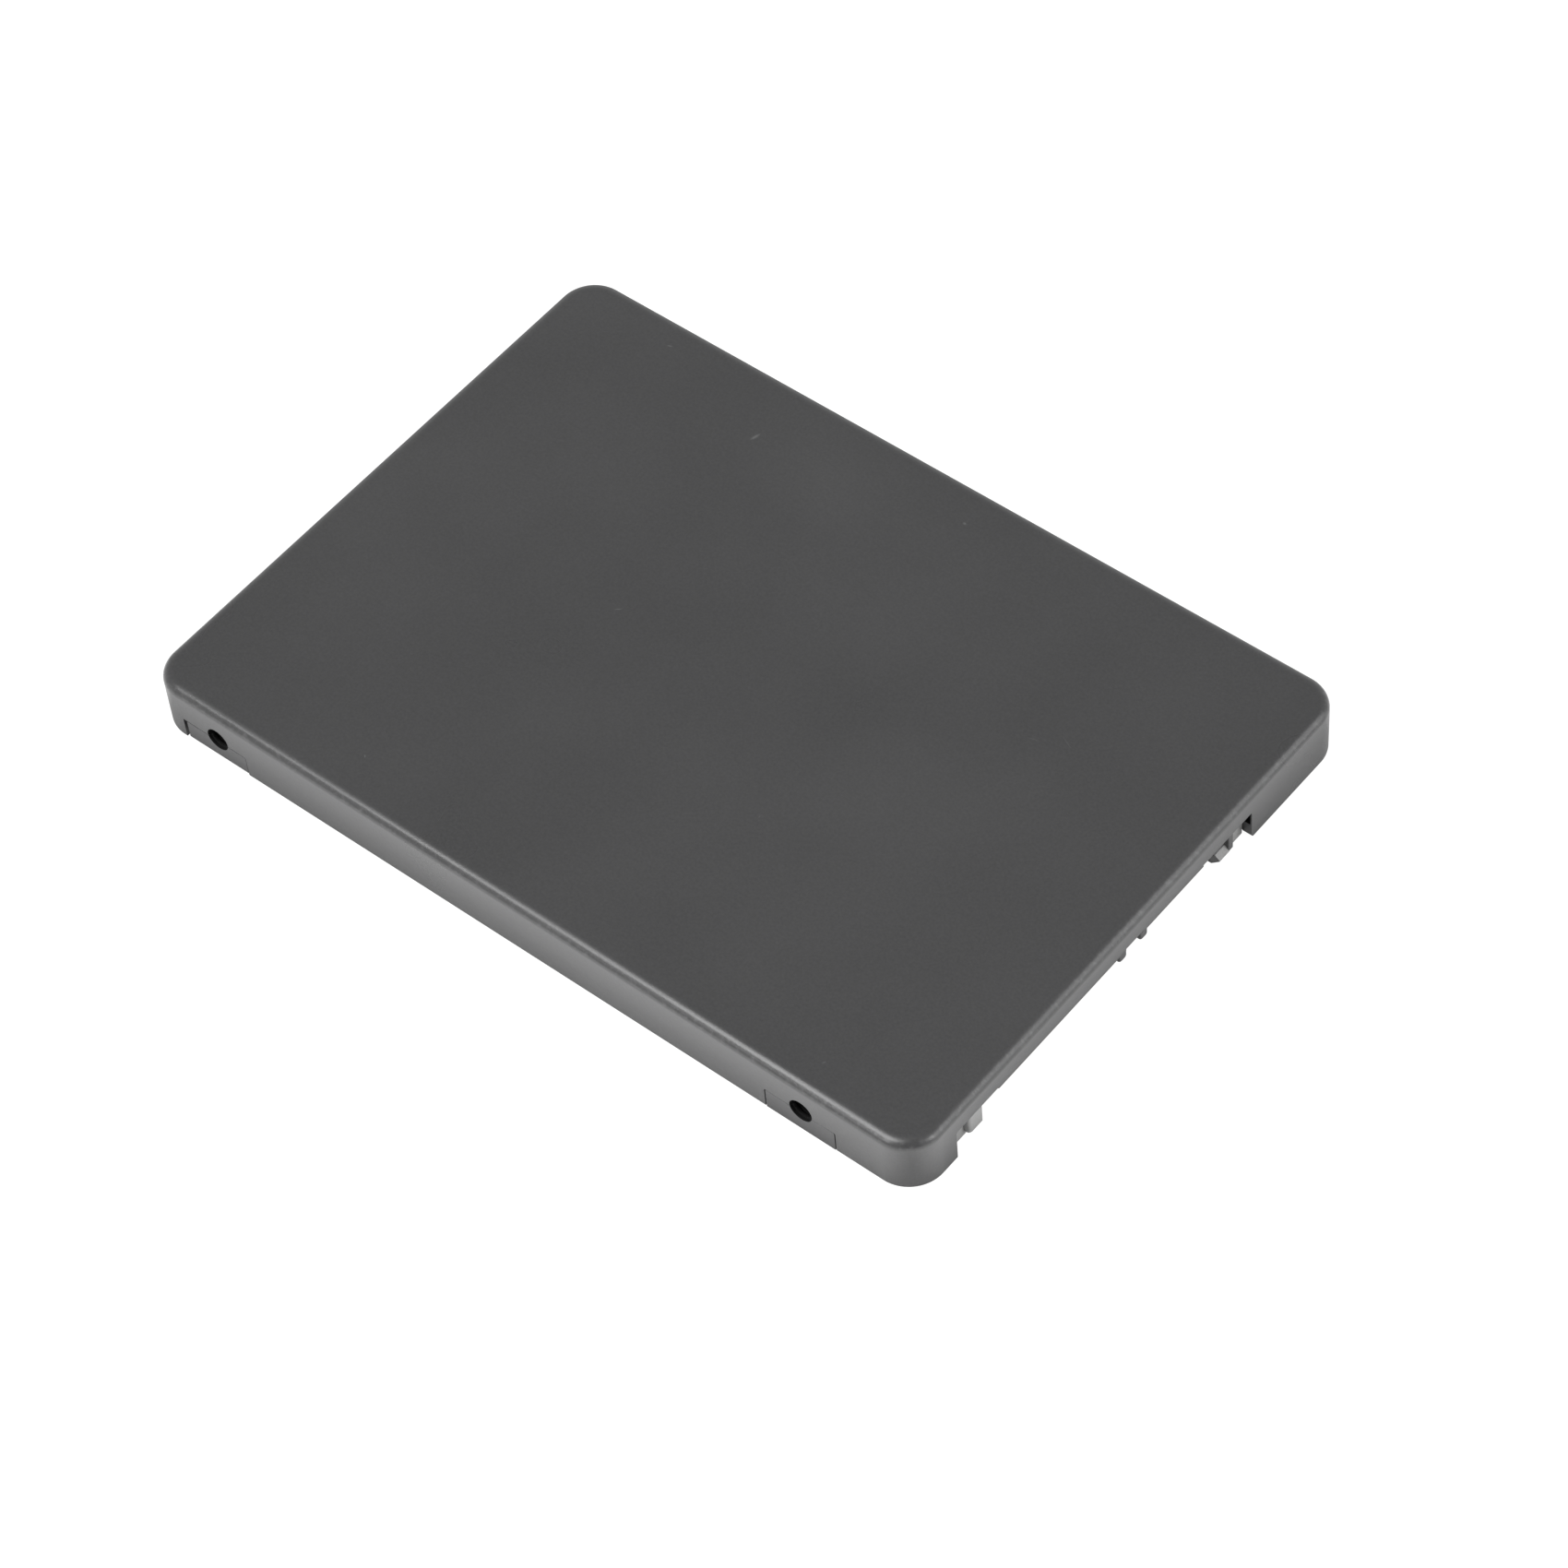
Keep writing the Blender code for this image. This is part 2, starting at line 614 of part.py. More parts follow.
# radius, height above the head's seat, from the shank out and up over the head
HEAD_PROFILE = [
    (SHANK_R, 0.0),
    (1.85, 0.0),
    (1.90, 0.15),
    (1.85, 0.60),
    (1.50, 0.95),
    (1.10, 1.05),
]
CROSS_WIDTH = 0.4
CROSS_Y_LENGTH = 1.7
# x from the screw's axis, height above the board: the arm along X
CROSS_PROFILE = [(-0.9, 2.0), (-0.9, 1.0), (-0.4, 0.6), (0.4, 0.6), (0.9, 1.0), (0.9, 2.0)]
CROSS_Y_Z = (BOARD_Z[1] + 0.75, BOARD_Z[1] + 2.0)  # the arm along Y


def screw_mesh(steps=24):
    """Pan head and plain shank, turned about Z."""
    shape = bmesh.new()
    profile = [(SHANK_R, SHANK_LOW)] + [(r, SEAT_Z + height) for r, height in HEAD_PROFILE]
    rings = []
    for radius, z in profile:
        ring = []
        for i in range(steps):
            angle = 2 * math.pi * i / steps
            point = (radius * math.cos(angle), radius * math.sin(angle), z)
            ring.append(shape.verts.new([c * MM for c in point]))
        rings.append(ring)
    for lower, upper in zip(rings, rings[1:]):
        for i in range(steps):
            j = (i + 1) % steps
            shape.faces.new((lower[i], lower[j], upper[j], upper[i]))
    shape.faces.new(list(reversed(rings[0])))
    shape.faces.new(rings[-1])
    return finish_mesh("board_screw", shape, 40)


def build_screws():
    """Four copies of one screw, each with a cross recess cut in its head."""
    mesh = screw_mesh()
    for i, (x, y) in enumerate(BOARD_SCREWS, 1):
        screw = place(f"board_screw_{i}", mesh, SCREW, (x, y, 0), BASE_UNIT)
        profile = [(x + offset, BOARD_Z[1] + height) for offset, height in CROSS_PROFILE]
        cut(screw, f"cut_cross_a_{i}", strips(profile, [around(y, CROSS_WIDTH)]))
        arm = (around(x, CROSS_WIDTH), around(y, CROSS_Y_LENGTH), CROSS_Y_Z)
        cut(screw, f"cut_cross_b_{i}", boxes([arm]))


build_cover()
build_base()
build_label()
build_board()
build_plug()
build_contacts()
build_board_parts()
build_thermal_pad()
build_screws()
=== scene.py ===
"""Looks of the 2.5-inch solid state drive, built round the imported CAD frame."""

import math

import bmesh
import bpy
from mathutils import Matrix, Vector


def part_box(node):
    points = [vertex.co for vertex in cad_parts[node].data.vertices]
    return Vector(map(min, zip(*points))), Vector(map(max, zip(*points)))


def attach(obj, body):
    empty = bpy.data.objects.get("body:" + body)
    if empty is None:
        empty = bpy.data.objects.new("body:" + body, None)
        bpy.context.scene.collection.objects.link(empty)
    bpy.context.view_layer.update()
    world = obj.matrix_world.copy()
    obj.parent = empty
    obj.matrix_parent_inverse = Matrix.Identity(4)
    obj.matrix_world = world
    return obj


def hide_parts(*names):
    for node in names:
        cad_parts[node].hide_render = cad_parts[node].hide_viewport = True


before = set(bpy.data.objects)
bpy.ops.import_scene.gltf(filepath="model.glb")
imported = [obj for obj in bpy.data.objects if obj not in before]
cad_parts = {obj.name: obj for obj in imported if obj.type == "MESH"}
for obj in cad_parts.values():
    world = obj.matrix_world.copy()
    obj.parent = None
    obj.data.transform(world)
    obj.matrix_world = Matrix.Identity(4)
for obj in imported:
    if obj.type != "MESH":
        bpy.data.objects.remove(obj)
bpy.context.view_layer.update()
MM = 0.001
FLOOR_SHADE = 0.12  # how much of the contact shadow the camera sees
WORLD_HORIZON = 0.99
WORLD_ZENITH = 0.30

# ------------------------------------------------------------------ dimensions
cover_low, cover_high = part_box("top_cover")
HALF_L = cover_high.x / MM
HALF_W = cover_high.y / MM
HEIGHT = cover_high.z / MM
PLAN_R = 4.1
RIM_R = 1.3
RIM_DROP = 1.0
WALL = 1.15
CEILING = 6.0
HOLES_X = (HALF_L - 14.0, HALF_L - 90.6)
HOLE_Z = 3.0
HOLE_R = 1.25
LUG_FRONT = (31.6, 40.1)
LUG_REAR = (-45.0, -36.8)
LUG_TOP = 2.75
MOUTH_Y = (-28.6, 18.95)
MOUTH_TOP = 4.1
BASE_GAP = 0.18
TRAY_RIM_T = 0.9
TRAY_RIM_TOP = 2.7
BOSS_TOP = 5.2
BOSS_INNER_Y = 26.9
BOTTOM_HOLE_Y = 30.855
board_low, board_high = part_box("main_pcb")
BOARD_TOP = board_high.z / MM
BOARD_LOW = board_low.z / MM
BOARD_SCREWS = [(-20.5, -28.3), (-20.5, 28.3), (27.0, -28.3), (27.0, 28.3)]


# ------------------------------------------------------------------ mesh helpers
def rounded(hx, hy, radius, steps):
    """Plan outline, half sizes hx and hy, counter-clockwise."""
    pts = []
    for q, (sx, sy) in enumerate(((1, 1), (-1, 1), (-1, -1), (1, -1))):
        cx, cy = sx * (hx - radius), sy * (hy - radius)
        for i in range(steps + 1):
            a = (q + i / steps) * math.pi / 2
            pts.append((cx + radius * math.cos(a), cy + radius * math.sin(a)))
    return pts


def ring(bm, pts, z):
    return [bm.verts.new((x * MM, y * MM, z * MM)) for x, y in pts]


def skin(bm, lower, upper):
    n = len(lower)
    for i in range(n):
        j = (i + 1) % n
        bm.faces.new((lower[i], lower[j], upper[j], upper[i]))


def loft(bm, rings, cap_first=True, cap_last=True):
    """Closed body through rings that run upwards on its outside."""
    for a, b in zip(rings, rings[1:]):
        skin(bm, a, b)
    if cap_first:
        bm.faces.new(list(reversed(rings[0])))
    if cap_last:
        bm.faces.new(rings[-1])


def arc(cx, cy, r, a0, a1, n):
    """Points on an arc, angles in degrees."""
    return [
        (
            cx + r * math.cos(math.radians(a0 + (a1 - a0) * i / n)),
            cy + r * math.sin(math.radians(a0 + (a1 - a0) * i / n)),
        )
        for i in range(n + 1)
    ]


def prism(bm, pts, span, plane="XY"):
    """Closed prism on an outline in the given plane."""

    def put(a, b, c):
        if plane == "XY":
            return (a * MM, b * MM, c * MM)
        if plane == "YZ":
            return (c * MM, a * MM, b * MM)
        return (a * MM, c * MM, b * MM)

    first = [bm.verts.new(put(a, b, span[0])) for a, b in pts]
    second = [bm.verts.new(put(a, b, span[1])) for a, b in pts]
    n = len(pts)
    for i in range(n):
        j = (i + 1) % n
        bm.faces.new((first[i], first[j], second[j], second[i]))
    bm.faces.new(list(reversed(first)))
    bm.faces.new(second)
    return first + second


def box(bm, x, y, z):
    return prism(bm, [(x[0], y[0]), (x[1], y[0]), (x[1], y[1]), (x[0], y[1])], z)


def lathe(bm, profile, centre=(0, 0, 0), axis="Z", steps=48):
    """Closed turned body; profile holds (radius, height) from its low end up."""
    rings = []
    for r, h in profile:
        row = []
        for i in range(steps):
            a = 2 * math.pi * i / steps
            u, v = r * math.cos(a), r * math.sin(a)
            if axis == "Z":
                p = (centre[0] + u, centre[1] + v, centre[2] + h)
            else:
                p = (centre[0] + u, centre[1] + h, centre[2] - v)
            row.append(bm.verts.new([c * MM for c in p]))
        rings.append(row)
    loft(bm, rings)


def to_object(name, bm):
    bmesh.ops.recalc_face_normals(bm, faces=bm.faces)
    mesh = bpy.data.meshes.new(name)
    bm.to_mesh(mesh)
    bm.free()
    obj = bpy.data.objects.new(name, mesh)
    bpy.context.scene.collection.objects.link(obj)
    return obj


def apply_all(obj):
    """Replaces the mesh by what its modifiers make."""
    dg = bpy.context.evaluated_depsgraph_get()
    mesh = bpy.data.meshes.new_from_object(obj.evaluated_get(dg), depsgraph=dg)
    old = obj.data
    obj.modifiers.clear()
    obj.data = mesh
    bpy.data.meshes.remove(old)


def cut(obj, tools, operation="DIFFERENCE"):
    """Boolean with each tool in turn; the tools are removed afterwards."""
    for t in tools:
        mod = obj.modifiers.new("cut", "BOOLEAN")
        mod.operation = operation
        mod.solver = "EXACT"
        mod.object = t
    bpy.context.view_layer.update()
    apply_all(obj)
    for t in tools:
        mesh = t.data
        bpy.data.objects.remove(t)
        bpy.data.meshes.remove(mesh)


def tool(build):
    bm = bmesh.new()
    build(bm)
    return to_object("tool", bm)


def shade(obj, degrees=30.0):
    bm = bmesh.new()
    bm.from_mesh(obj.data)
    bmesh.ops.remove_doubles(bm, verts=bm.verts, dist=1e-6)
    bmesh.ops.dissolve_degenerate(bm, dist=1e-7, edges=bm.edges)
    bm.to_mesh(obj.data)
    bm.free()
    obj.data.shade_smooth()
    obj.data.set_sharp_from_angle(angle=math.radians(degrees))


def finish_piece(obj, mat, body, replaces=()):
    obj.data.materials.clear()
    obj.data.materials.append(mat)
    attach(obj, body)
    if replaces:
        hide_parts(*replaces)
    return obj


# centre x and y, turn, half length, half width (mm) and strength of each mark
MARKS_AND_SHEEN = [
    (-35.5, 31.5, 20, 0.35, 0.10, 0.20),
    (-19.8, 26.8, 75, 0.75, 0.22, 0.20),
    (-16.2, 0.2, 40, 0.55, 0.08, 0.16),
    (5.4, 30.2, 0, 0.25, 0.20, 0.18),
    (-24.4, -29.6, 130, 0.25, 0.08, 0.20),
    (28.4, 11.8, 15, 0.80, 0.06, 0.09),
    (31.4, 13.4, -25, 1.10, 0.06, 0.09),
    (36.2, -31.2, 60, 0.30, 0.08, 0.16),
    (12.5, -12.0, 100, 0.22, 0.07, 0.12),
    # the last two, broad and faint, are painted reflections, not marks on the case
    (-10.5, 27.5, -10, 13.0, 8.0, 0.022),
    (20.7, -2.3, 30, 12.0, 9.0, 0.018),
]


# ------------------------------------------------------------------ materials
class Nodes:
    """Small helper round a material's node tree."""

    def __init__(self, name):
        self.mat = bpy.data.materials.new(name)
        self.mat.use_nodes = True
        self.tree = self.mat.node_tree
        self.bsdf = self.tree.nodes["Principled BSDF"]

    def add(self, kind, **settings):
        node = self.tree.nodes.new(kind)
        for key, value in settings.items():
            if key in node.inputs:
                node.inputs[key].default_value = value
            else:
                setattr(node, key, value)
        return node

    def link(self, a, b):
        self.tree.links.new(a, b)

    def coords(self):
        return self.add("ShaderNodeTexCoord").outputs["Object"]

    def noise(self, vec, scale, detail=2.0, rough=0.5, stretch=None):
        if stretch:
            m = self.add("ShaderNodeMapping")
            m.inputs["Scale"].default_value = stretch
            self.link(vec, m.inputs["Vector"])
            vec = m.outputs["Vector"]
        n = self.add("ShaderNodeTexNoise")
        n.inputs["Scale"].default_value = scale
        n.inputs["Detail"].default_value = detail
        n.inputs["Roughness"].default_value = rough
        self.link(vec, n.inputs["Vector"])
        return n.outputs["Fac"]

    def ramp(self, fac, low, high, a=0.0, b=1.0):
        r = self.add("ShaderNodeMapRange")
        r.inputs["From Min"].default_value = low
        r.inputs["From Max"].default_value = high
        r.inputs["To Min"].default_value = a
        r.inputs["To Max"].default_value = b
        self.link(fac, r.inputs["Value"])
        return r.outputs["Result"]

    def mix(self, fac, a, b):
        m = self.add("ShaderNodeMix", data_type="RGBA")
        for sock, value in (("A", a), ("B", b)):
            target = [i for i in m.inputs if i.name == sock and i.type == "RGBA"][0]
            if isinstance(value, tuple):
                target.default_value = (*value, 1.0)
            else:
                self.link(value, target)
        f = m.inputs[0]
        if isinstance(fac, float):
            f.default_value = fac
        else:
            self.link(fac, f)
        return [o for o in m.outputs if o.type == "RGBA"][0]

    def maths(self, op, a, b=None, c=None):
        m = self.add("ShaderNodeMath", operation=op)
        for i, v in enumerate((a, b, c)):
            if v is None:
                continue
            if isinstance(v, (int, float)):
                m.inputs[i].default_value = v
            else:
                self.link(v, m.inputs[i])
        return m.outputs[0]

    def bump(self, height, strength, distance, normal=None):
        b = self.add("ShaderNodeBump")
        b.inputs["Strength"].default_value = strength
        b.inputs["Distance"].default_value = distance
        self.link(height, b.inputs["Height"])
        if normal is not None:
            self.link(normal, b.inputs["Normal"])
        return b.outputs["Normal"]

    def edge(self, radius, samples=6):
        b = self.add("ShaderNodeBevel", samples=samples)
        b.inputs["Radius"].default_value = radius
        return b.outputs["Normal"]

    def set(self, name, value):
        sock = self.bsdf.inputs[name]
        if isinstance(value, (int, float)):
            sock.default_value = value
        elif isinstance(value, tuple):
            sock.default_value = (*value, 1.0)
        else:
            self.link(value, sock)


def moulded(name, rgb, rough, grain=3600.0, grain_depth=1.3e-5, variation=0.12,
            edge_radius=0.06e-3, marks_and_sheen=False, specular=0.5):
    """Satin moulded plastic: fine eroded grain, faint flow shading, soft edges."""
    n = Nodes(name)
    vec = n.coords()
    fine = n.noise(vec, grain, 3.0, 0.6)
    broad = n.noise(vec, 55.0, 2.0, 0.5)
    lift = n.maths(
        "ADD",
        n.ramp(fine, 0.3, 0.7, 1.0 - variation, 1.0 + variation),
        n.ramp(broad, 0.3, 0.7, -0.04, 0.04),
    )
    scaled = n.add("ShaderNodeVectorMath", operation="SCALE")
    scaled.inputs[0].default_value = rgb
    n.link(lift, scaled.inputs["Scale"])
    colour = scaled.outputs[0]
    height = fine
    if marks_and_sheen:
        # a few specks and short rubs on the top, and two broad soft lighter patches that are painted reflections
        total = None
        for cx, cy, turn, length, width, weight in MARKS_AND_SHEEN:
            m = n.add("ShaderNodeMapping", vector_type="TEXTURE")
            m.inputs["Location"].default_value = (cx * MM, cy * MM, HEIGHT * MM)
            m.inputs["Rotation"].default_value = (0.0, 0.0, math.radians(turn))
            m.inputs["Scale"].default_value = (length * MM, width * MM, 0.5 * MM)
            n.link(vec, m.inputs["Vector"])
            far = n.add("ShaderNodeVectorMath", operation="LENGTH")
            n.link(m.outputs["Vector"], far.inputs[0])
            spot = n.ramp(far.outputs["Value"], 0.3 if width < 2 else 0.0, 1.0, weight, 0.0)
            total = spot if total is None else n.maths("ADD", total, spot)
        # small noisy patches on the rim fillet are lighter
        geo = n.add("ShaderNodeNewGeometry")
        axes = n.add("ShaderNodeSeparateXYZ")
        n.link(geo.outputs["Normal"], axes.inputs[0])
        bead = n.maths("MULTIPLY", n.ramp(axes.outputs["Z"], 0.25, 0.5), n.ramp(axes.outputs["Z"], 0.82, 0.96, 1.0, 0.0))
        rim_patches = n.ramp(n.noise(vec, 1500.0, 3.0, 0.62), 0.50, 0.70, 0.0, 0.11)
        total = n.maths("ADD", total, n.maths("MULTIPLY", bead, rim_patches))
        colour = n.mix(total, colour, (0.30, 0.30, 0.30))
    n.set("Base Color", colour)
    n.set("Roughness", n.ramp(broad, 0.3, 0.7, rough - 0.03, rough + 0.03))
    n.set("Specular IOR Level", specular)
    n.set("Normal", n.bump(height, 0.55, grain_depth, n.edge(edge_radius)))
    return n.mat


def metal(name, rgb, rough, brushed=False):
    n = Nodes(name)
    vec = n.coords()
    fine = n.noise(vec, 5200.0 if not brushed else 2600.0, 2.0, 0.6,
                   stretch=(1.0, 1.0, 1.0) if not brushed else (0.12, 1.0, 1.0))
    broad = n.noise(vec, 900.0, 2.0, 0.5)
    n.set("Base Color", n.mix(n.ramp(broad, 0.3, 0.7), tuple(c * 0.86 for c in rgb), rgb))
    n.set("Metallic", 1.0)
    n.set("Roughness", n.ramp(fine, 0.25, 0.75, rough * 0.8, rough * 1.3))
    n.set("Normal", n.bump(fine, 0.25, 2e-6, n.edge(0.03e-3, 4)))
    return n.mat


# the case carries specks and rubs, two broad painted reflections on the top and lighter patches on the rim fillet
CASE = moulded("case_plastic", (0.0456, 0.0456, 0.0463), 0.30, marks_and_sheen=True)
BASE = moulded("base_plastic", (0.0460, 0.0460, 0.0470), 0.36)
# near-black painted shade for the insides of the screw holes; the chip packages also use it for their pin-1 dots
BORE_SHADE_AND_PIN_DOT = moulded("bore_shadow", (0.006, 0.006, 0.006), 0.8, grain=5200.0, grain_depth=0.3e-5,
              specular=0.12)
PLUG = moulded("plug_plastic", (0.060, 0.060, 0.061), 0.42, grain=5200.0, grain_depth=0.4e-5,
               variation=0.05, edge_radius=0.05e-3)
# pale copy of the grey plastic: partly the pale tips of the guide arms, partly painted light on faces that sit in shade
# under the cover lip
PALE_TIP_AND_PAINTED_LIGHT = moulded("pale_tip_and_painted_light", (0.235, 0.235, 0.233), 0.45, grain=5200.0, grain_depth=0.4e-5,
                variation=0.05, edge_radius=0.05e-3)
TRACE = moulded("mask_over_copper", (0.020, 0.125, 0.055), 0.28, grain=3000.0,
                grain_depth=0.1e-5, variation=0.05, edge_radius=0.01e-3)
INK = moulded("white_ink", (0.62, 0.62, 0.60), 0.6, grain=6000.0, grain_depth=0.2e-5,
              variation=0.05, edge_radius=0.01e-3)
LAMINATE = moulded("laminate_edge", (0.20, 0.17, 0.075), 0.55, grain=4200.0,
                   grain_depth=0.6e-5, variation=0.2, edge_radius=0.02e-3)
RESISTOR = moulded("resistor_glaze", (0.015, 0.015, 0.017), 0.3, grain=5200.0,
                   grain_depth=0.2e-5, variation=0.05, edge_radius=0.02e-3)
BAND = moulded("polarity_band", (0.42, 0.22, 0.06), 0.5, grain=5200.0, grain_depth=0.2e-5,
               variation=0.05, edge_radius=0.02e-3)
PRINT = moulded("label_print", (0.24, 0.25, 0.26), 0.5, grain=4600.0, grain_depth=0.2e-5,
                variation=0.04, edge_radius=0.02e-3)
GOLD = metal("contact_gold", (0.86, 0.62, 0.26), 0.22)
TIN = metal("tinned_steel", (0.70, 0.70, 0.68), 0.34)
SCREW = metal("zinc_screw", (0.62, 0.62, 0.63), 0.28, brushed=True)
CAN = metal("crystal_can", (0.72, 0.70, 0.64), 0.28, brushed=True)
CHIP = moulded("chip_epoxy", (0.016, 0.016, 0.017), 0.5, grain=5200.0, grain_depth=0.35e-5,
               variation=0.1, edge_radius=0.03e-3)
FERRITE = moulded("inductor_ferrite", (0.06, 0.06, 0.062), 0.6, grain=4200.0,
                  grain_depth=1.2e-5, variation=0.25, edge_radius=0.05e-3)
CERAMIC = moulded("capacitor_ceramic", (0.34, 0.22, 0.12), 0.5, grain=6200.0,
                  grain_depth=0.3e-5, variation=0.08, edge_radius=0.04e-3)
POLYMER = moulded("capacitor_polymer", (0.035, 0.035, 0.04), 0.42, grain=5200.0,
                  grain_depth=0.3e-5, variation=0.08, edge_radius=0.04e-3)
PAD = moulded("thermal_pad", (0.26, 0.36, 0.47), 0.75, grain=2600.0, grain_depth=1.5e-5,
              variation=0.08, edge_radius=0.1e-3)
PAPER = moulded("label_film", (0.52, 0.52, 0.52), 0.5, grain=4600.0, grain_depth=0.2e-5,
                variation=0.04, edge_radius=0.02e-3)
BOARD = moulded("board_laminate", (0.010, 0.075, 0.032), 0.32, grain=900.0,
                grain_depth=0.2e-5, variation=0.1, edge_radius=0.03e-3)


def paint_bore_shade(obj, index, inner):
    """Faces inside the side screw holes take the near-black painted shade."""
    for f in obj.data.polygons:
        c = f.center / MM
        if not inner < abs(c.y) < HALF_W - 0.02:
            continue
        for hx in HOLES_X:
            rx, rz = hx - c.x, HOLE_Z - c.z
            away = math.hypot(rx, rz)
            if 0.9 < away < HOLE_R + 0.19 and f.normal.x * rx + f.normal.z * rz > 0.05 * away:
                f.material_index = index


# ------------------------------------------------------------------ top cover
def cover_piece():
    steps = 26
    bm = bmesh.new()

    def at(inset, z):
        return ring(bm, rounded(HALF_L - inset, HALF_W - inset, PLAN_R - inset, steps), z)

    rings = []
    # inside, from the ceiling down
    rings.append(at(WALL + 0.6, CEILING))
    rings.append(at(WALL + 0.3, CEILING))
    for i in range(1, 5):
        a = math.radians(90 * i / 4)
        rings.append(at(WALL + 0.3 - 0.3 * math.sin(a), CEILING - 0.3 + 0.3 * math.cos(a)))
    rings.append(at(WALL, 0.15))
    rings.append(at(WALL + -0.10, 0.0))
    # bottom edge, then the outer side up
    rings.append(at(0.12, 0.0))
    rings.append(at(0.05, 0.015))
    rings.append(at(0.015, 0.05))
    rings.append(at(0.0, 0.12))
    rings.append(at(0.0, HEIGHT - RIM_DROP - 0.25))
    n = 14
    for i in range(n + 1):
        a = math.radians(90 * i / n)
        rings.append(at(RIM_R * (1 - math.cos(a)), HEIGHT - RIM_DROP * (1 - math.sin(a))))
    rings.append(at(RIM_R + 0.12, HEIGHT))
    loft(bm, rings)
    cover = to_object("top_cover_moulding", bm)

    r0, r1, r2 = 0.15, 0.6, 0.25
    y0, y1 = MOUTH_Y
    low = -1.0

    def mouth(bm):
        pts = [(y0 - r0, low), (y1 + r1, low), (y1 + r1, 0.0)]
        pts += [(y1 + r1 - r1 * math.sin(math.radians(a)), r1 - r1 * math.cos(math.radians(a)))
                for a in (15, 30, 45, 60, 75, 90)]
        pts += arc(y1 - r2, MOUTH_TOP - r2, r2, 0, 90, 5)
        pts += arc(y0 + r2, MOUTH_TOP - r2, r2, 90, 180, 5)
        pts += [(y0 - r0 + r0 * math.sin(math.radians(a)), r0 - r0 * math.cos(math.radians(a)))
                for a in (90, 75, 60, 45, 30, 15)]
        pts += [(y0 - r0, 0.0)]
        prism(bm, pts, (47.6, 51.5), "YZ")

    def pocket(bm):
        box(bm, (48.0, 49.82), (y1 - 0.5, y1 + 1.8), (2.05, MOUTH_TOP - 0.02))

    def notch(side, lug, slit_rear, slit_front, r, above):
        def build(bm):
            x0, x1, top = lug[0] - slit_rear, lug[1] + slit_front, LUG_TOP + above
            pts = [(x0, low), (x1, low)]
            pts += arc(x1 - r, top - r, r, 0, 90, 5)
            pts += arc(x0 + 0.12, top - 0.12, 0.12, 90, 180, 4)
            prism(bm, pts, sorted((side * 33.0, side * 36.0)), "XZ")

        return build

    def hole(side, x):
        def build(bm):
            r = HOLE_R + 0.10
            prof = [(r, 32.5), (r, HALF_W - 0.04), (r + 0.05, HALF_W + 0.01), (r + 0.05, 36.5)]
            if side < 0:
                prof = [(a, -b) for a, b in reversed(prof)]
            lathe(bm, prof, (x, 0.0, HOLE_Z), "Y", 56)

        return build

    tools = [tool(mouth), tool(pocket)]
    for side in (-1, 1):
        tools.append(tool(notch(side, LUG_FRONT, 0.15, 0.13, 0.15, 0.04)))
        tools.append(tool(notch(side, LUG_REAR, 0.50, 0.05, 0.30, 0.08)))
        for x in HOLES_X:
            tools.append(tool(hole(side, x)))
    cut(cover, tools)

    def ribs_long(bm):
        for y in (-24.0, -8.0, 8.0, 24.0):
            box(bm, (-46.0, -26.0), (y - 0.4, y + 0.4), (5.2, 6.3))

    def rib_cross(bm):
        box(bm, (-27.0, -26.2), (-29.0, 29.0), (5.2, 6.3))

    cut(cover, [tool(ribs_long), tool(rib_cross)], "UNION")
    shade(cover, 28)
    finish_piece(cover, CASE, "cover_unit", ["top_cover"])
    # near-black painted shade inside the side screw holes
    cover.data.materials.append(BORE_SHADE_AND_PIN_DOT)
    paint_bore_shade(cover, 1, 33.0)
    return cover


cover_piece()

# ------------------------------------------------------------------ fine pieces
def slab(bm, x, y, z, r=0.2, top=0.05, low=0.0, steps=4, draft=0.0):
    """Closed block with round upright corners and softened upper and lower edges."""
    cx, cy = (x[0] + x[1]) / 2, (y[0] + y[1]) / 2
    hx, hy = (x[1] - x[0]) / 2, (y[1] - y[0]) / 2

    def at(inset, h):
        pts = rounded(hx - inset, hy - inset, max(r - inset, 0.004), steps)
        return ring(bm, [(cx + px, cy + py) for px, py in pts], h)

    rings = []
    if low:
        for deg in (90, 60, 30):
            c, s_ = math.cos(math.radians(deg)), math.sin(math.radians(deg))
            rings.append(at(low * (1 - c), z[0] + low * (1 - s_)))
        rings.append(at(0.0, z[0] + low))
    else:
        rings.append(at(0.0, z[0]))
    if top:
        for deg in (0, 30, 60, 90):
            c, s_ = math.cos(math.radians(deg)), math.sin(math.radians(deg))
            rings.append(at(draft + top * (1 - c), z[1] - top * (1 - s_)))
    else:
        rings.append(at(draft, z[1]))
    loft(bm, rings)


def strip(bm, pts, width, z):
    """Closed flat strip along a bent line, with mitred bends."""
    left, right = [], []
    n = len(pts)
    for i, (px, py) in enumerate(pts):
        a = Vector(pts[i]) - Vector(pts[i - 1]) if i else Vector(pts[1]) - Vector(pts[0])
        b = Vector(pts[i + 1]) - Vector(pts[i]) if i < n - 1 else a
        a.normalize()
        b.normalize()
        t = a + b
        t.normalize()
        normal = Vector((-t.y, t.x))
        k = width / 2 / max(0.5, normal.dot(Vector((-a.y, a.x))))
        left.append((px + normal.x * k, py + normal.y * k))
        right.append((px - normal.x * k, py - normal.y * k))
    prism(bm, left + right[::-1], z)


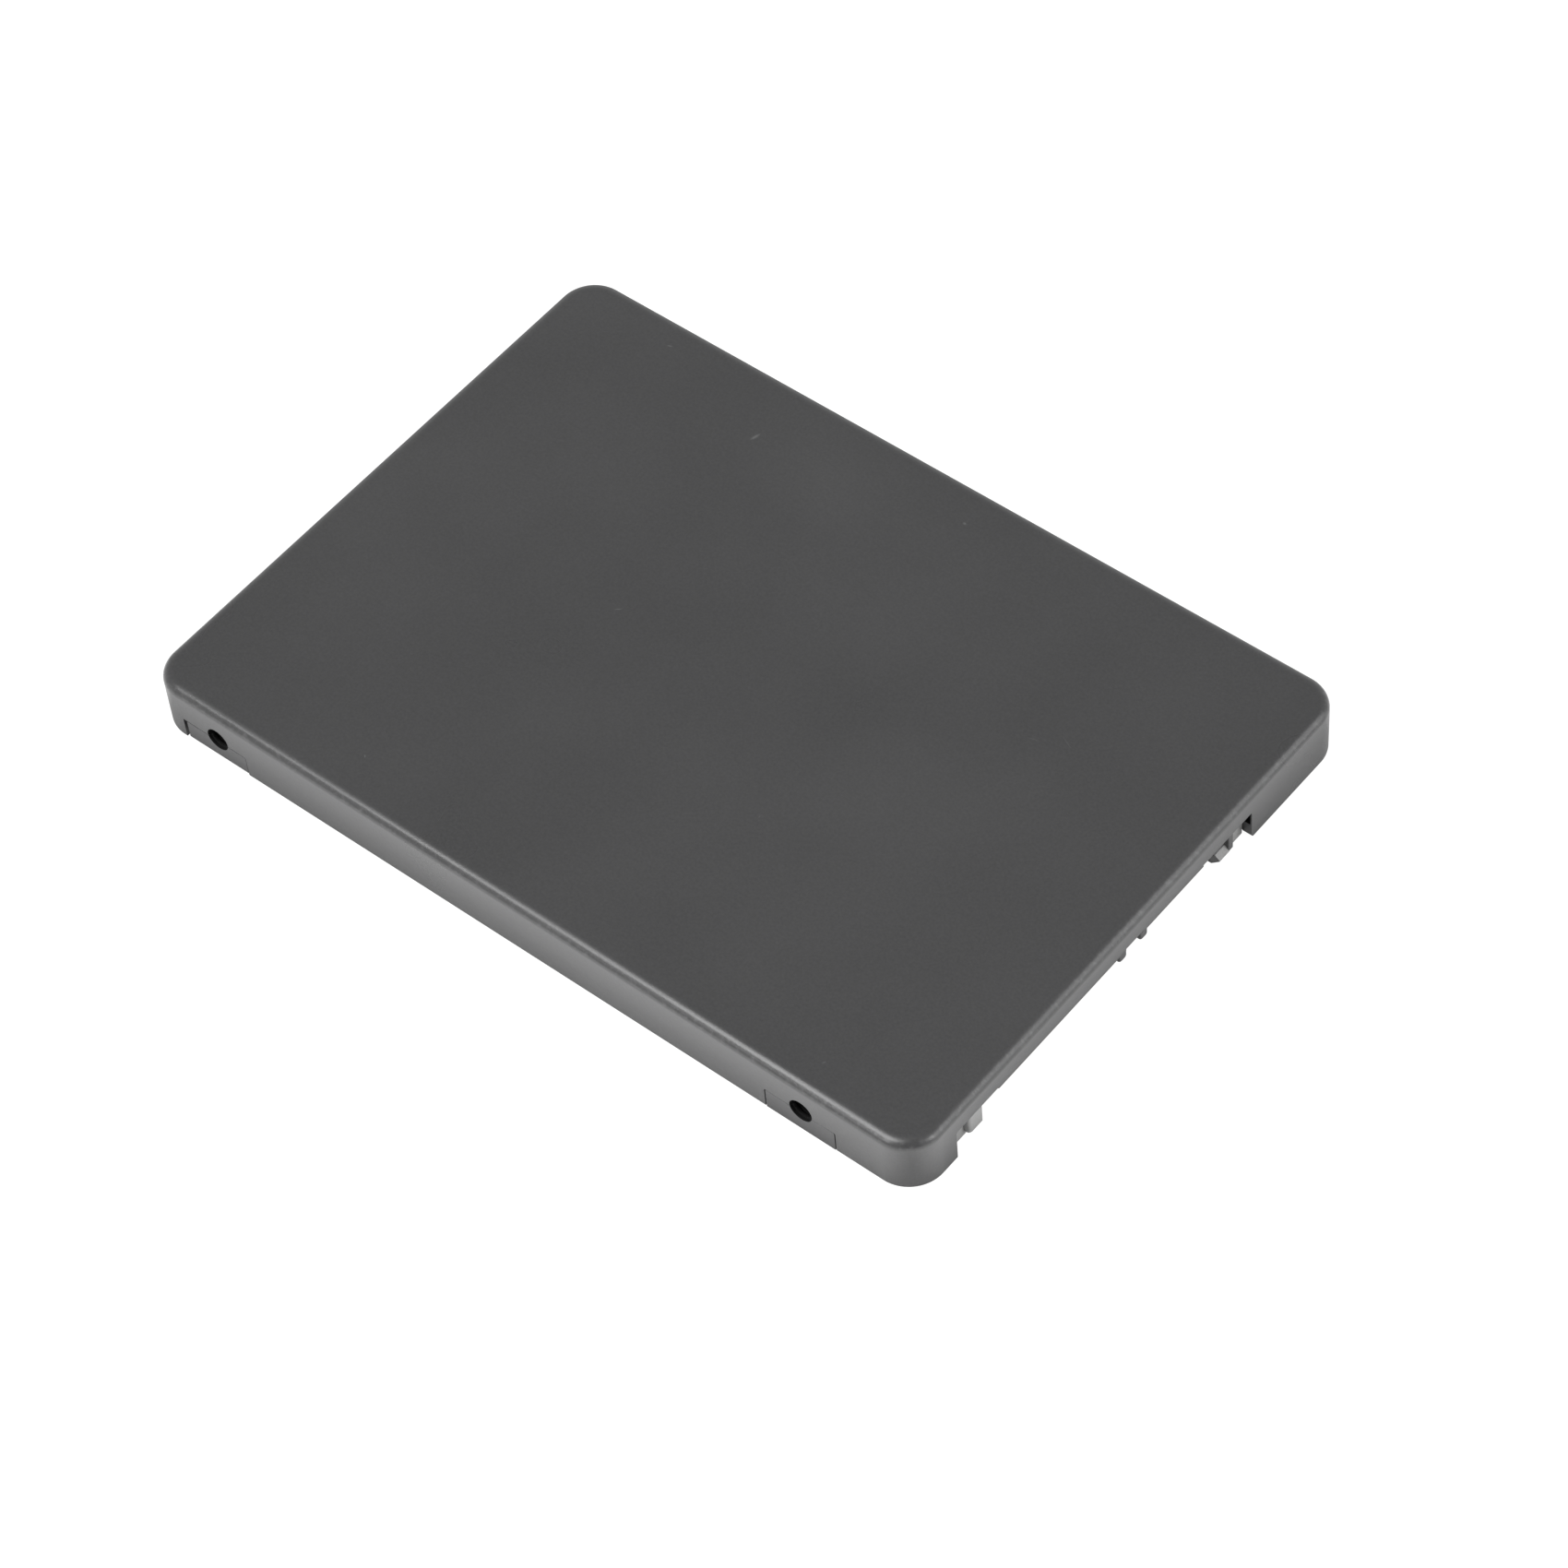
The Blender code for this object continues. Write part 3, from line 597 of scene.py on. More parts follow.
def washer(bm, cx, cy, r0, r1, z, steps=40):
    """Closed flat ring."""
    rings = []
    for r, h in ((r0, z[0]), (r1, z[0]), (r1, z[1]), (r0, z[1])):
        rings.append(
            [
                bm.verts.new(
                    (
                        (cx + r * math.cos(2 * math.pi * i / steps)) * MM,
                        (cy + r * math.sin(2 * math.pi * i / steps)) * MM,
                        h * MM,
                    )
                )
                for i in range(steps)
            ]
        )
    for a, b in zip(rings, rings[1:] + rings[:1]):
        skin(bm, a, b)


def dome(bm, cx, cy, r, z, steps=20):
    """Closed low button with a rounded upper edge."""
    e = min(0.3 * r, z[1] - z[0])
    lathe(
        bm,
        [(r, z[0]), (r, z[1] - e), (r - 0.3 * e, z[1] - 0.3 * e), (r - e, z[1])],
        (cx, cy, 0.0),
        "Z",
        steps,
    )


class Piece:
    """One piece made of closed shapes in several finishes."""

    def __init__(self, name, *mats):
        self.name, self.mats = name, mats
        self.bm = bmesh.new()

    def add(self, index, build, *args, **kw):
        before = len(self.bm.faces)
        build(self.bm, *args, **kw)
        self.bm.faces.ensure_lookup_table()
        for f in list(self.bm.faces)[before:]:
            f.material_index = index

    def done(self, body, replaces=(), degrees=32.0):
        obj = to_object(self.name, self.bm)
        for mat in self.mats:
            obj.data.materials.append(mat)
        obj.data.shade_smooth()
        obj.data.set_sharp_from_angle(angle=math.radians(degrees))
        flat = obj.modifiers.new("flat_faces_first", "WEIGHTED_NORMAL")
        flat.mode = "FACE_AREA"
        flat.keep_sharp = True
        bpy.context.view_layer.update()
        apply_all(obj)
        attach(obj, body)
        if replaces:
            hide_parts(*replaces)
        return obj


def span(node):
    """A node's place as x, y and z pairs in millimetres."""
    a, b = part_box(node)
    return tuple((a[i] / MM, b[i] / MM) for i in range(3))


# ------------------------------------------------------------------ base shell
PLATE_L = HALF_L - WALL - BASE_GAP
PLATE_W = HALF_W - WALL - BASE_GAP
PLATE_R = PLAN_R - WALL - BASE_GAP


def base_piece():
    bm = bmesh.new()
    steps = 18

    def at(inset, z):
        return ring(bm, rounded(PLATE_L - inset, PLATE_W - inset, max(PLATE_R - inset, 0.3), steps), z)

    inner = TRAY_RIM_T
    rings = [at(inner + 0.9, 1.0), at(inner + 0.3, 1.0)]
    for deg in (60, 30, 0):
        c, s_ = math.cos(math.radians(deg)), math.sin(math.radians(deg))
        rings.append(at(inner + 0.3 * (1 - c), 1.3 - 0.3 * s_))
    rings += [at(inner, TRAY_RIM_TOP - 0.18)]
    for deg in (30, 60, 90):
        c, s_ = math.cos(math.radians(deg)), math.sin(math.radians(deg))
        rings.append(at(inner - 0.18 * (1 - c), TRAY_RIM_TOP - 0.18 * (1 - s_)))
    for deg in (90, 60, 30, 0):
        c, s_ = math.cos(math.radians(deg)), math.sin(math.radians(deg))
        rings.append(at(0.18 * (1 - c), TRAY_RIM_TOP - 0.18 * (1 - s_)))
    rings += [at(0.0, 0.22)]
    for deg in (30, 60, 90):
        c, s_ = math.cos(math.radians(deg)), math.sin(math.radians(deg))
        rings.append(at(0.22 * (1 - c), 0.22 * (1 - s_)))
    loft(bm, rings)
    base = to_object("base_shell_moulding", bm)

    joins = []

    def boss(side, lug):
        def build(bm):
            y = sorted((side * BOSS_INNER_Y, side * (PLATE_W - 0.02)))
            slab(bm, lug, y, (0.5, BOSS_TOP), r=0.6, top=0.25, steps=5)

        return build

    def lug_block(side, lug, low):
        def build(bm):
            r = 0.18
            pts = [(lug[0], low), (lug[1], low)]
            pts += arc(lug[1] - r, LUG_TOP - r, r, 0, 90, 4)
            pts += arc(lug[0] + r, LUG_TOP - r, r, 90, 180, 4)
            prism(bm, pts, sorted((side * 33.0, side * HALF_W)), "XZ")

        return build

    for side in (-1, 1):
        joins += [tool(boss(side, LUG_FRONT)), tool(boss(side, LUG_REAR))]
        joins += [
            tool(lug_block(side, LUG_FRONT, 0.0)),
            tool(lug_block(side, LUG_REAR, 0.35)),
        ]
    cut(base, joins, "UNION")

    def standoff(x, y):
        def build(bm):
            lathe(
                bm,
                [(2.9, 0.8), (2.9, 1.0), (2.5, 1.05), (2.3, 1.12), (2.2, 1.2), (2.15, BOARD_LOW - 0.05)],
                (x, y, 0.0), "Z", 40,
            )

        return build

    def rib_long(y):
        def build(bm):
            prism(
                bm,
                [(y - 0.5, 0.8), (y + 0.5, 0.8), (y + 0.36, 2.1), (y + 0.26, 2.2),
                 (y - 0.26, 2.2), (y - 0.36, 2.1)],
                (-47.9, -26.0), "YZ",
            )

        return build

    def rib_cross(x, half):
        def build(bm):
            prism(
                bm,
                [(x - 0.5, 0.8), (x + 0.5, 0.8), (x + 0.36, 2.1), (x + 0.26, 2.2),
                 (x - 0.26, 2.2), (x - 0.36, 2.1)],
                (-half, half), "XZ",
            )

        return build

    joins = [tool(standoff(x, y)) for x, y in BOARD_SCREWS]
    joins += [tool(rib_long(y)) for y in (-20.0, -10.0, 0.0, 10.0, 20.0)]
    joins += [tool(rib_cross(x, 26.5 if x < -36 else 32.9)) for x in (-42.0, -35.0, -28.0)]
    for y in ((MOUTH_Y[0] + 0.06, -25.2), (15.4, MOUTH_Y[1] - 0.06)):
        joins.append(tool(lambda bm, y=y: slab(bm, (47.9, END_WALL_X), y, (0.0, TRAY_RIM_TOP - 0.1), r=0.05, top=0.1, low=0.06, steps=3)))
    cut(base, joins, "UNION")

    tools = [tool(lambda bm: slab(bm, (board_high.x / MM + 0.05, 53.0), (-26.24, 16.44), (0.70, 6.0), r=0.15, top=0.0, steps=3))]
    tools.append(tool(lambda bm: slab(bm, (board_high.x / MM + 0.05, 53.0), (-25.86, 16.44), (-1.0, 2.0), r=0.15, top=0.0, steps=3)))
    tools.append(tool(lambda bm: slab(bm, (-33.0, 27.0), (-23.0, 23.0), (-1.0, 0.25), r=1.6, top=0.04, steps=8)))

    def thread(side, x):
        def build(bm):
            prof = [(HOLE_R, 31.0)]
            y = 31.3
            while y < HALF_W - 1.0:
                prof += [(HOLE_R, y), (HOLE_R + 0.17, y + 0.20), (HOLE_R + 0.17, y + 0.25), (HOLE_R, y + 0.45)]
                y += 0.5
            prof += [(HOLE_R, HALF_W - 0.45), (HOLE_R + 0.10, HALF_W - 0.35), (HOLE_R + 0.10, HALF_W - 0.04),
                     (HOLE_R + 0.15, HALF_W + 0.01), (HOLE_R + 0.15, 36.5)]
            if side < 0:
                prof = [(a, -b) for a, b in reversed(prof)]
            lathe(bm, prof, (x, 0.0, HOLE_Z), "Y", 48)

        return build

    def bottom_thread(side, x):
        def build(bm):
            prof = [(HOLE_R + 0.2, -1.0), (HOLE_R + 0.2, 0.0), (HOLE_R, 0.2)]
            z = 0.35
            while z < 3.1:
                prof += [(HOLE_R, z), (HOLE_R + 0.17, z + 0.20), (HOLE_R + 0.17, z + 0.25), (HOLE_R, z + 0.45)]
                z += 0.5
            prof += [(HOLE_R, 3.7)]
            lathe(bm, prof, (x, side * BOTTOM_HOLE_Y, 0.0), "Z", 48)

        return build

    for x in HOLES_X:
        for side in (-1, 1):
            tools += [tool(thread(side, x)), tool(bottom_thread(side, x))]
    for x, y in BOARD_SCREWS:
        tools.append(tool(lambda bm, x=x, y=y: lathe(bm, [(0.95, 0.3), (0.95, 1.1), (1.1, 1.3), (1.1, 3.0)], (x, y, 0.0), "Z", 32)))
    cut(base, tools)
    shade(base, 30)
    base.data.materials.clear()
    base.data.materials.append(BASE)
    base.data.materials.append(BORE_SHADE_AND_PIN_DOT)
    base.data.materials.append(PALE_TIP_AND_PAINTED_LIGHT)
    # near-black painted shade inside the side screw holes
    paint_bore_shade(base, 1, 30.0)
    for f in base.data.polygons:
        c = f.center / MM
        # the end-wall faces recessed under the cover lip take the pale copy as painted light
        if c.x > 48.7 and f.normal.x > 0.7 and MOUTH_Y[0] < c.y < MOUTH_Y[1]:
            f.material_index = 2
        # near-black painted shade inside the bottom screw holes
        for hx in HOLES_X:
            if c.z > 0.3 and c.z < 3.72 and math.hypot(c.x - hx, abs(c.y) - BOTTOM_HOLE_Y) < HOLE_R + 0.19:
                f.material_index = 1
    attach(base, "base_unit")
    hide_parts("base_shell")


END_WALL_X = 48.88
base_piece()

# ------------------------------------------------------------------ SATA plug
TONGUE_LOW, TONGUE_HIGH = 2.535, 3.765
TIP_X, KEY_TIP_X, GUIDE_TIP_X = 49.43, 49.33, 49.6
POWER_Y, SIGNAL_Y = (-21.495, -0.815), (1.485, 11.895)
CONTACT_Y = [7.24 + 1.27 * (3 - i) for i in range(7)] + [-11.705 + 1.27 * (7 - i) for i in range(15)]


def plug_piece():
    bm = bmesh.new()
    z0 = BOARD_TOP + 0.05
    pts = [(41.0, z0), (43.2, z0), (43.2, 0.95), (44.0, 0.95), (44.1, 1.05), (44.1, 5.1),
           (44.0, 5.2), (41.1, 5.2), (41.0, 5.1)]
    prism(bm, pts, (-26.2, 16.4), "XZ")
    plug = to_object("sata_plug_moulding", bm)

    def tongue(y):
        def build(bm):
            # the tip is bevelled on all four sides so that a receptacle slides on
            def section(inset, x):
                y0, y1 = y[0] + inset, y[1] - inset
                return [
                    (y0, TONGUE_LOW + 0.2 * inset), (y1, TONGUE_LOW + 0.2 * inset),
                    (y1, TONGUE_HIGH - 1.3 * inset), (y0, TONGUE_HIGH - 1.3 * inset),
                ]

            rows = []
            for inset, x in ((0.0, 43.6), (0.0, TIP_X - 0.42), (0.12, TIP_X - 0.10), (0.22, TIP_X)):
                rows.append([bm.verts.new((x * MM, a * MM, b * MM)) for a, b in section(inset, x)])
            loft(bm, rows)

        return build

    def key(y):
        def build(bm):
            low, r = TONGUE_HIGH - 2.4, 0.28

            def section(i, x):
                pts = [(y[0] + i, 3.0)]
                pts += arc(y[0] + i + r, low + i + r, r, 180, 270, 5)
                pts += arc(y[1] - i - r, low + i + r, r, 270, 360, 5)
                pts += [(y[1] - i, 3.0)]
                return [bm.verts.new((x * MM, a * MM, b * MM)) for a, b in pts]

            loft(bm, [section(0.0, 43.6), section(0.0, KEY_TIP_X - 0.20), section(0.04, KEY_TIP_X - 0.06),
                      section(0.12, KEY_TIP_X)])

        return build

    joins = [tool(tongue(POWER_Y)), tool(tongue(SIGNAL_Y))]
    joins += [tool(key((POWER_Y[1] - 1.2, POWER_Y[1] - 0.001))), tool(key((SIGNAL_Y[0] - 0.09, SIGNAL_Y[0] + 1.1)))]
    joins.append(tool(lambda bm: prism(
        bm,
        [(43.6, -26.2), (GUIDE_TIP_X - 0.28, -26.2), (GUIDE_TIP_X - 0.16, -26.14), (GUIDE_TIP_X - 0.05, -26.0),
         (GUIDE_TIP_X, -25.82),
         (GUIDE_TIP_X, -24.22), (GUIDE_TIP_X - 0.12, -24.1), (43.6, -24.1)],
        (0.75, 3.95),
    )))
    joins.append(tool(lambda bm: slab(bm, (43.6, GUIDE_TIP_X), (15.65, 16.4), (0.95, 3.95), r=0.08, top=0.06, low=0.05, steps=3)))
    joins.append(tool(lambda bm: slab(bm, (43.7, 49.1), (13.85, 15.9), (0.97, 3.9), r=0.06, top=0.05, steps=3)))

    def step(bm):
        # low lead-in ramp beside the wall of the signal-end guide
        plan = [(43.75, 13.47), (49.05, 13.47), (GUIDE_TIP_X + 0.03, 14.08), (GUIDE_TIP_X + 0.03, 15.8), (43.75, 15.8)]
        upper = [(43.75, 13.47), (48.75, 13.47), (49.10, 14.0), (49.10, 15.8), (43.75, 15.8)]
        rows = [
            [bm.verts.new((a * MM, b * MM, 0.955 * MM)) for a, b in plan],
            [bm.verts.new((a * MM, b * MM, 1.10 * MM)) for a, b in plan],
            [bm.verts.new((a * MM, b * MM, 1.72 * MM)) for a, b in upper],
        ]
        loft(bm, rows)

    joins.append(tool(step))
    cut(plug, joins, "UNION")
    half = 0.47
    tools = []
    for y in CONTACT_Y:
        tools.append(tool(lambda bm, y=y: box(bm, (40.0, 48.95), (y - half, y + half), (2.0, TONGUE_LOW + 0.25))))
    for y in (-24.6, 14.8):
        tools.append(tool(lambda bm, y=y: box(bm, (40.0, 42.6), (y - 0.9, y + 0.9), (2.0, 2.785))))
    # shallow pockets along the top of the body that keep the wall even
    y = -22.0
    while y < 13.0:
        tools.append(tool(lambda bm, y=y: slab(bm, (41.5, 43.6), (y - 1.5, y + 1.5), (4.9, 6.0), r=0.3, top=0.0, steps=4)))
        y += 4.25
    cut(plug, tools)
    shade(plug, 30)
    plug.data.materials.clear()
    plug.data.materials.append(PLUG)
    plug.data.materials.append(PALE_TIP_AND_PAINTED_LIGHT)
    # the guide-arm tips, the power-end arm's -Y side and the signal-end ramp take the pale copy: partly pale plastic,
    # partly painted light
    for f in plug.data.polygons:
        c = f.center / MM
        if (c.x > 48.9 and f.normal.x > 0.3 or c.x > 43.7 and f.normal.y < -0.9 and c.y < -26.1) and (-26.3 < c.y < -24.0 or 13.95 < c.y < 15.62) and (c.y < 0 or c.z < 1.75):
            f.material_index = 1
    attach(plug, "base_unit")
    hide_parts("sata_plug_housing")


plug_piece()

# ------------------------------------------------------------------ contacts
def bent_strip(name, y, width, front, mat, node):
    """Stamped strip: chamfered tip, flat blade, smooth bend down to a soldered foot."""
    blade = (TONGUE_LOW + 0.01, TONGUE_LOW + 0.195)
    foot = (BOARD_TOP + 0.05, BOARD_TOP + 0.235)
    upper, lower = [], []
    n = 8
    for i in range(n + 1):
        t = i / n
        k = (1 - math.cos(math.pi * t)) / 2
        x = 41.0 - 1.0 * t
        upper.append((x + 0.03, blade[1] + (foot[1] - blade[1]) * k))
        lower.append((x - 0.03, blade[0] + (foot[0] - blade[0]) * k))
    outline = [(front - 0.12, blade[0]), (front, blade[0] + 0.06), (front, blade[1])]
    outline += upper + [(38.78, foot[1]), (38.7, foot[1] - 0.05), (38.7, foot[0])] + lower[::-1]
    p = Piece(name, mat)

    def build(bm):
        rows = []
        e = 0.03
        cx = sum(a for a, b in outline) / len(outline)
        for off, inset in ((-width / 2, e), (-width / 2 + e, 0.0), (width / 2 - e, 0.0), (width / 2, e)):
            row = []
            for i, (a, b) in enumerate(outline):
                pa, pb = outline[i - 1], outline[(i + 1) % len(outline)]
                tx, tz = pb[0] - pa[0], pb[1] - pa[1]
                ln = math.hypot(tx, tz) or 1.0
                nx, nz = tz / ln, -tx / ln
                row.append(bm.verts.new(((a + nx * inset) * MM, (y + off) * MM, (b + nz * inset) * MM)))
            rows.append(row)
        loft(bm, rows)

    p.add(0, build)
    return p.done("base_unit", [node], 40.0)


for i in range(7):
    bent_strip(f"signal_contact_{i + 1}", CONTACT_Y[i], 0.84, 48.6 if i + 1 in (1, 4, 7) else 48.1,
               GOLD, f"sata_contact_s{i + 1}")
for i in range(15):
    bent_strip(f"power_contact_{i + 1}", CONTACT_Y[7 + i], 0.84, 48.6 if i + 1 in (4, 12) else 48.1,
               GOLD, f"sata_contact_p{i + 1}")
bent_strip("lock_blade_power_end", -24.6, 1.7, 42.5, TIN, "board_lock_power_end")
bent_strip("lock_blade_signal_end", 14.8, 1.7, 42.5, TIN, "board_lock_signal_end")


# ------------------------------------------------------------------ circuit board
def board_piece():
    x0, x1 = board_low.x / MM, board_high.x / MM
    neck, w, nw = 30.8, 31.8, 26.2

    def corner(px, py, sx, sy, r, convex=True):
        """Rounded corner at px, py; sx and sy point into the board."""
        cx, cy = px + sx * r, py + sy * r
        pts = []
        for i in range(7):
            a = math.radians(90 * i / 6)
            pts.append((cx - sx * r * math.cos(a), cy - sy * r * math.sin(a)))
        return pts

    outline = []
    outline += corner(x0, -w, 1, 1, 1.2)
    outline += corner(neck, -w, -1, 1, 1.2)[::-1]
    outline += [(neck, -nw - 0.8), (neck + 0.12, -nw - 0.4), (neck + 0.4, -nw - 0.12), (neck + 0.8, -nw)]
    outline += corner(x1, -nw, -1, 1, 0.6)[::-1]
    outline += corner(x1, nw, -1, -1, 0.6)
    outline += [(neck + 0.8, nw), (neck + 0.4, nw + 0.12), (neck + 0.12, nw + 0.4), (neck, nw + 0.8)]
    outline += corner(neck, w, -1, -1, 1.2)
    outline += corner(x0, w, 1, -1, 1.2)[::-1]
    bm = bmesh.new()
    prism(bm, outline, (BOARD_LOW, BOARD_TOP))
    board = to_object("circuit_board", bm)
    tools = [tool(lambda bm, x=x, y=y: lathe(bm, [(1.15, 0.0), (1.15, 4.0)], (x, y, 0.0), "Z", 40)) for x, y in BOARD_SCREWS]
    # two tooling holes
    for x, y in ((-21.5, 0.0), (39.5, 23.3)):
        tools.append(tool(lambda bm, x=x, y=y: lathe(bm, [(0.75, 0.0), (0.75, 4.0)], (x, y, 0.0), "Z", 28)))
    cut(board, tools)
    shade(board, 30)
    board.data.materials.clear()
    board.data.materials.append(BOARD)
    board.data.materials.append(LAMINATE)
    for f in board.data.polygons:
        if abs(f.normal.z) < 0.5:
            f.material_index = 1
    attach(board, "base_unit")
    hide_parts("main_pcb")


board_piece()
T = BOARD_TOP


def traces_piece():
    p = Piece("board_traces", TRACE)
    h = (T + 0.002, T + 0.028)

    def line(pts, w=0.13):
        p.add(0, strip, pts, w, h)

    # data bus from the controller through the middle channel to the rear memory pair
    for k in range(8):
        for s_ in (1, -1):
            o = s_ * (0.35 + 0.28 * k)
            xe = -8.0 - 0.9 * (7 - k)
            line([(16.3, 2.0 + o), (15.2, 2.0 + o), (13.2, o), (xe, o), (xe - 1.0, o + s_ * 1.0), (xe - 1.0, s_ * 4.05)])
    # buses to the front memory pair
    for k in range(7):
        yc = 5.0 + 0.42 * k
        line([(16.4, yc), (15.6, yc), (14.6, yc + 1.0), (11.9, yc + 1.0)])
        yc = -1.1 - 0.42 * k
        line([(16.4, yc), (15.9, yc), (12.6, yc - 3.3), (11.9, yc - 3.3)])
    # matched-length lines to the working memory, with meanders
    for k in range(10):
        x = 18.9 + 0.78 * k
        wave = [(x, 9.2)]
        if k % 2:
            wave += [(x, 9.7), (x + 0.28, 9.85), (x + 0.28, 10.15), (x, 10.3), (x, 10.6), (x + 0.28, 10.75), (x + 0.28, 11.05), (x, 11.2)]
        wave += [(x, 11.8)]
        line(wave, 0.12)
    # signal pairs from the plug to the controller
    for a, b in ((8.51, 9.78), (4.70, 5.97)):
        for j, y in enumerate((a, b)):
            yc = 3.2 + 0.36 * j + (1.5 if a > 8 else 0.0)
            line([(38.0, y), (37.2, y), (37.2 - abs(y - yc), yc), (30.7, yc)], 0.16)
    # wide supply runs
    for y0, xk in ((-12.34, 33.0), (-14.88, 33.4)):
        line([(38.0, y0), (37.4, y0), (xk + 3.0, y0 - 0.8), (xk + 3.0, -17.6)], 0.4)
    line([(29.5, -17.2), (29.5, -14.8)], 1.1)
    line([(27.3, -19.5), (24.4, -19.2)], 1.3)
    line([(27.3, -20.6), (25.6, -22.3), (24.5, -23.8)], 0.9)
    for k in range(5):
        line([(22.4, -9.2 - 0.3 * k), (24.0 + 0.3 * k, -8.0 - 0.1 * k), (24.0 + 0.5 * k, -5.2)], 0.13)
    # stubs along the memory edges
    for cx in (-13.0, 5.0):
        for s_ in (1, -1):
            for k in range(12):
                x = cx - 5.5 + k
                line([(x, s_ * 22.1), (x, s_ * (22.7 + 0.15 * (k % 3))), (x + 0.4, s_ * (23.1 + 0.15 * (k % 3)))], 0.12)
    p.done("base_unit")


traces_piece()


def pads_piece():
    p = Piece("board_pads", GOLD, TIN)
    z = (T + 0.002, T + 0.03)
    for x, y in BOARD_SCREWS:
        p.add(0, washer, x, y, 1.18, 2.45, z)
    for i, y in enumerate(CONTACT_Y):
        p.add(1, slab, (37.9, 40.3), (y - 0.45, y + 0.45), (T + 0.002, T + 0.048), r=0.1, top=0.02)
    for y in (-24.6, 14.8):
        p.add(1, slab, (38.0, 40.4), (y - 1.1, y + 1.1), (T + 0.002, T + 0.048), r=0.15, top=0.02)
    for k in range(9):
        p.add(0, washer, -22.3, -19.0 + 2.0 * k, 0.0 + 0.12, 0.5, z, 20)
    for k in range(6):
        p.add(0, washer, 14.6, -25.8 + 1.6 * k, 0.12, 0.42, z, 20)
    # vias
    for k in range(26):
        a = 2.39996 * k
        r = 0.9 + 0.42 * math.sqrt(k)
        p.add(0, washer, 16.2 + r * math.cos(a), 27.6 + 0.8 * r * math.sin(a), 0.10, 0.24, z, 14)
    for cx in (-13.0, 5.0):
        for s_ in (1, -1):
            for k in range(12):
                x = cx - 5.5 + k
                p.add(0, washer, x + 0.45, s_ * (23.3 + 0.15 * (k % 3)), 0.08, 0.19, z, 12)
    for k in range(9):
        p.add(0, washer, 38.9 - 0.7 * (k % 3), 18.9 + 0.8 * (k // 3), 0.08, 0.2, z, 12)
        p.add(0, washer, 33.9 + 0.55 * (k % 3), -23.4 - 0.6 * (k // 3), 0.1, 0.2, z, 12)
    p.done("base_unit")


pads_piece()


def silk_piece():
    p = Piece("board_marking", INK)
    z = (T + 0.001, T + 0.012)

    def frame_of(x, y, gap=0.45, w=0.12, notch=True):
        a, b = x[0] - gap, x[1] + gap
        c, d = y[0] - gap, y[1] + gap
        arm = 1.4
        for sx, px in ((1, a), (-1, b)):
            for sy, py in ((1, c), (-1, d)):
                p.add(0, strip, [(px + sx * arm, py), (px, py), (px, py + sy * arm)], w, z)
        if notch:
            p.add(0, dome, a - 0.1, d + 0.35, 0.22, z, 16)

    for node in ("controller_chip", "dram_chip", "nand_flash_1", "nand_flash_2", "nand_flash_3", "nand_flash_4"):
        x, y, _ = span(node)
        frame_of(x, y)
    for node in ("power_inductor_1", "power_inductor_2", "polymer_capacitor_1", "polymer_capacitor_2", "crystal_oscillator"):
        x, y, _ = span(node)
        frame_of(x, y, 0.35, 0.1, False)
    p.done("base_unit")


silk_piece()


def smd_piece():
    """Small two-ended parts: fired ceramic or glazed black bodies with tinned ends."""
    p = Piece("board_small_parts", CERAMIC, TIN, RESISTOR)
    z0 = T + 0.03

    def smd(x, y, upright, kind, size=(1.0, 0.5, 0.5)):
        l, w, h = size
        if kind == 2:
            h = 0.35
        e = 0.24 * l

        def at(u0, u1, v0, v1):
            return ((x + v0, x + v1), (y + u0, y + u1)) if upright else ((x + u0, x + u1), (y + v0, y + v1))

        a, b = at(-l / 2 + e, l / 2 - e, -w / 2 + 0.01, w / 2 - 0.01)
        p.add(kind, slab, a, b, (z0 + 0.01, z0 + h - 0.015), r=0.01, top=0.02, steps=1)
        for s_ in (-1, 1):
            u = sorted((s_ * (l / 2 - e), s_ * l / 2))
            a, b = at(u[0], u[1], -w / 2, w / 2)
            p.add(1, slab, a, b, (z0, z0 + h), r=0.05, top=0.05, low=0.02, steps=2)
            u = sorted((s_ * (l / 2 - 0.5 * e), s_ * (l / 2 + 0.22)))
            a, b = at(u[0], u[1], -w / 2 - 0.03, w / 2 + 0.03)
            p.add(1, slab, a, b, (T + 0.002, T + 0.05), r=0.04, top=0.02, steps=1)

    for k in range(9):
        for s_ in (1, -1):
            smd(-4.6, s_ * (5.2 + 2.1 * k), False, 2 if k % 3 == 1 else 0)
            smd(-3.2, s_ * (5.2 + 2.1 * k), False, 0)
    for k in range(6):
        for cx in (-13.0, 5.0):
            for s_ in (1, -1):
                smd(cx - 5.6 + 2.2 * k, s_ * 25.0, True, 2 if k % 2 else 0)
    for k in range(5):
        smd(14.0, 10.5 + 2.0 * k, False, 0 if k % 2 else 2)
        smd(-21.6, 5.0 + 2.2 * k, True, 2 if k % 2 else 0)
    for k in range(6):
        smd(31.9, -4.2 + 1.5 * k, False, 0)
    for k in range(5):
        smd(17.6 + 2.3 * k, -6.6, True, 0 if k % 2 else 2)
        smd(28.6, 12.8 + 1.9 * k, False, 2 if k % 2 else 0)
    for k in range(4):
        smd(32.8 + 1.5 * k, 23.4, True, 0, (1.6, 0.8, 0.6))
        smd(19.2 + 1.9 * k, 24.7, True, 2)
    for y in (9.0, 10.4):
        smd(34.6, y, False, 0)
    for x, y in ((25.6, -15.9), (26.0, -12.4), (26.0, -10.9), (32.6, -14.9), (32.6, -10.6), (14.2, -14.0), (14.2, -16.4)):
        smd(x, y, False, 2 if y > -12 else 0)
    for y in (0.4, 8.9):
        smd(36.6, y, True, 0)
    p.done("base_unit")


smd_piece()


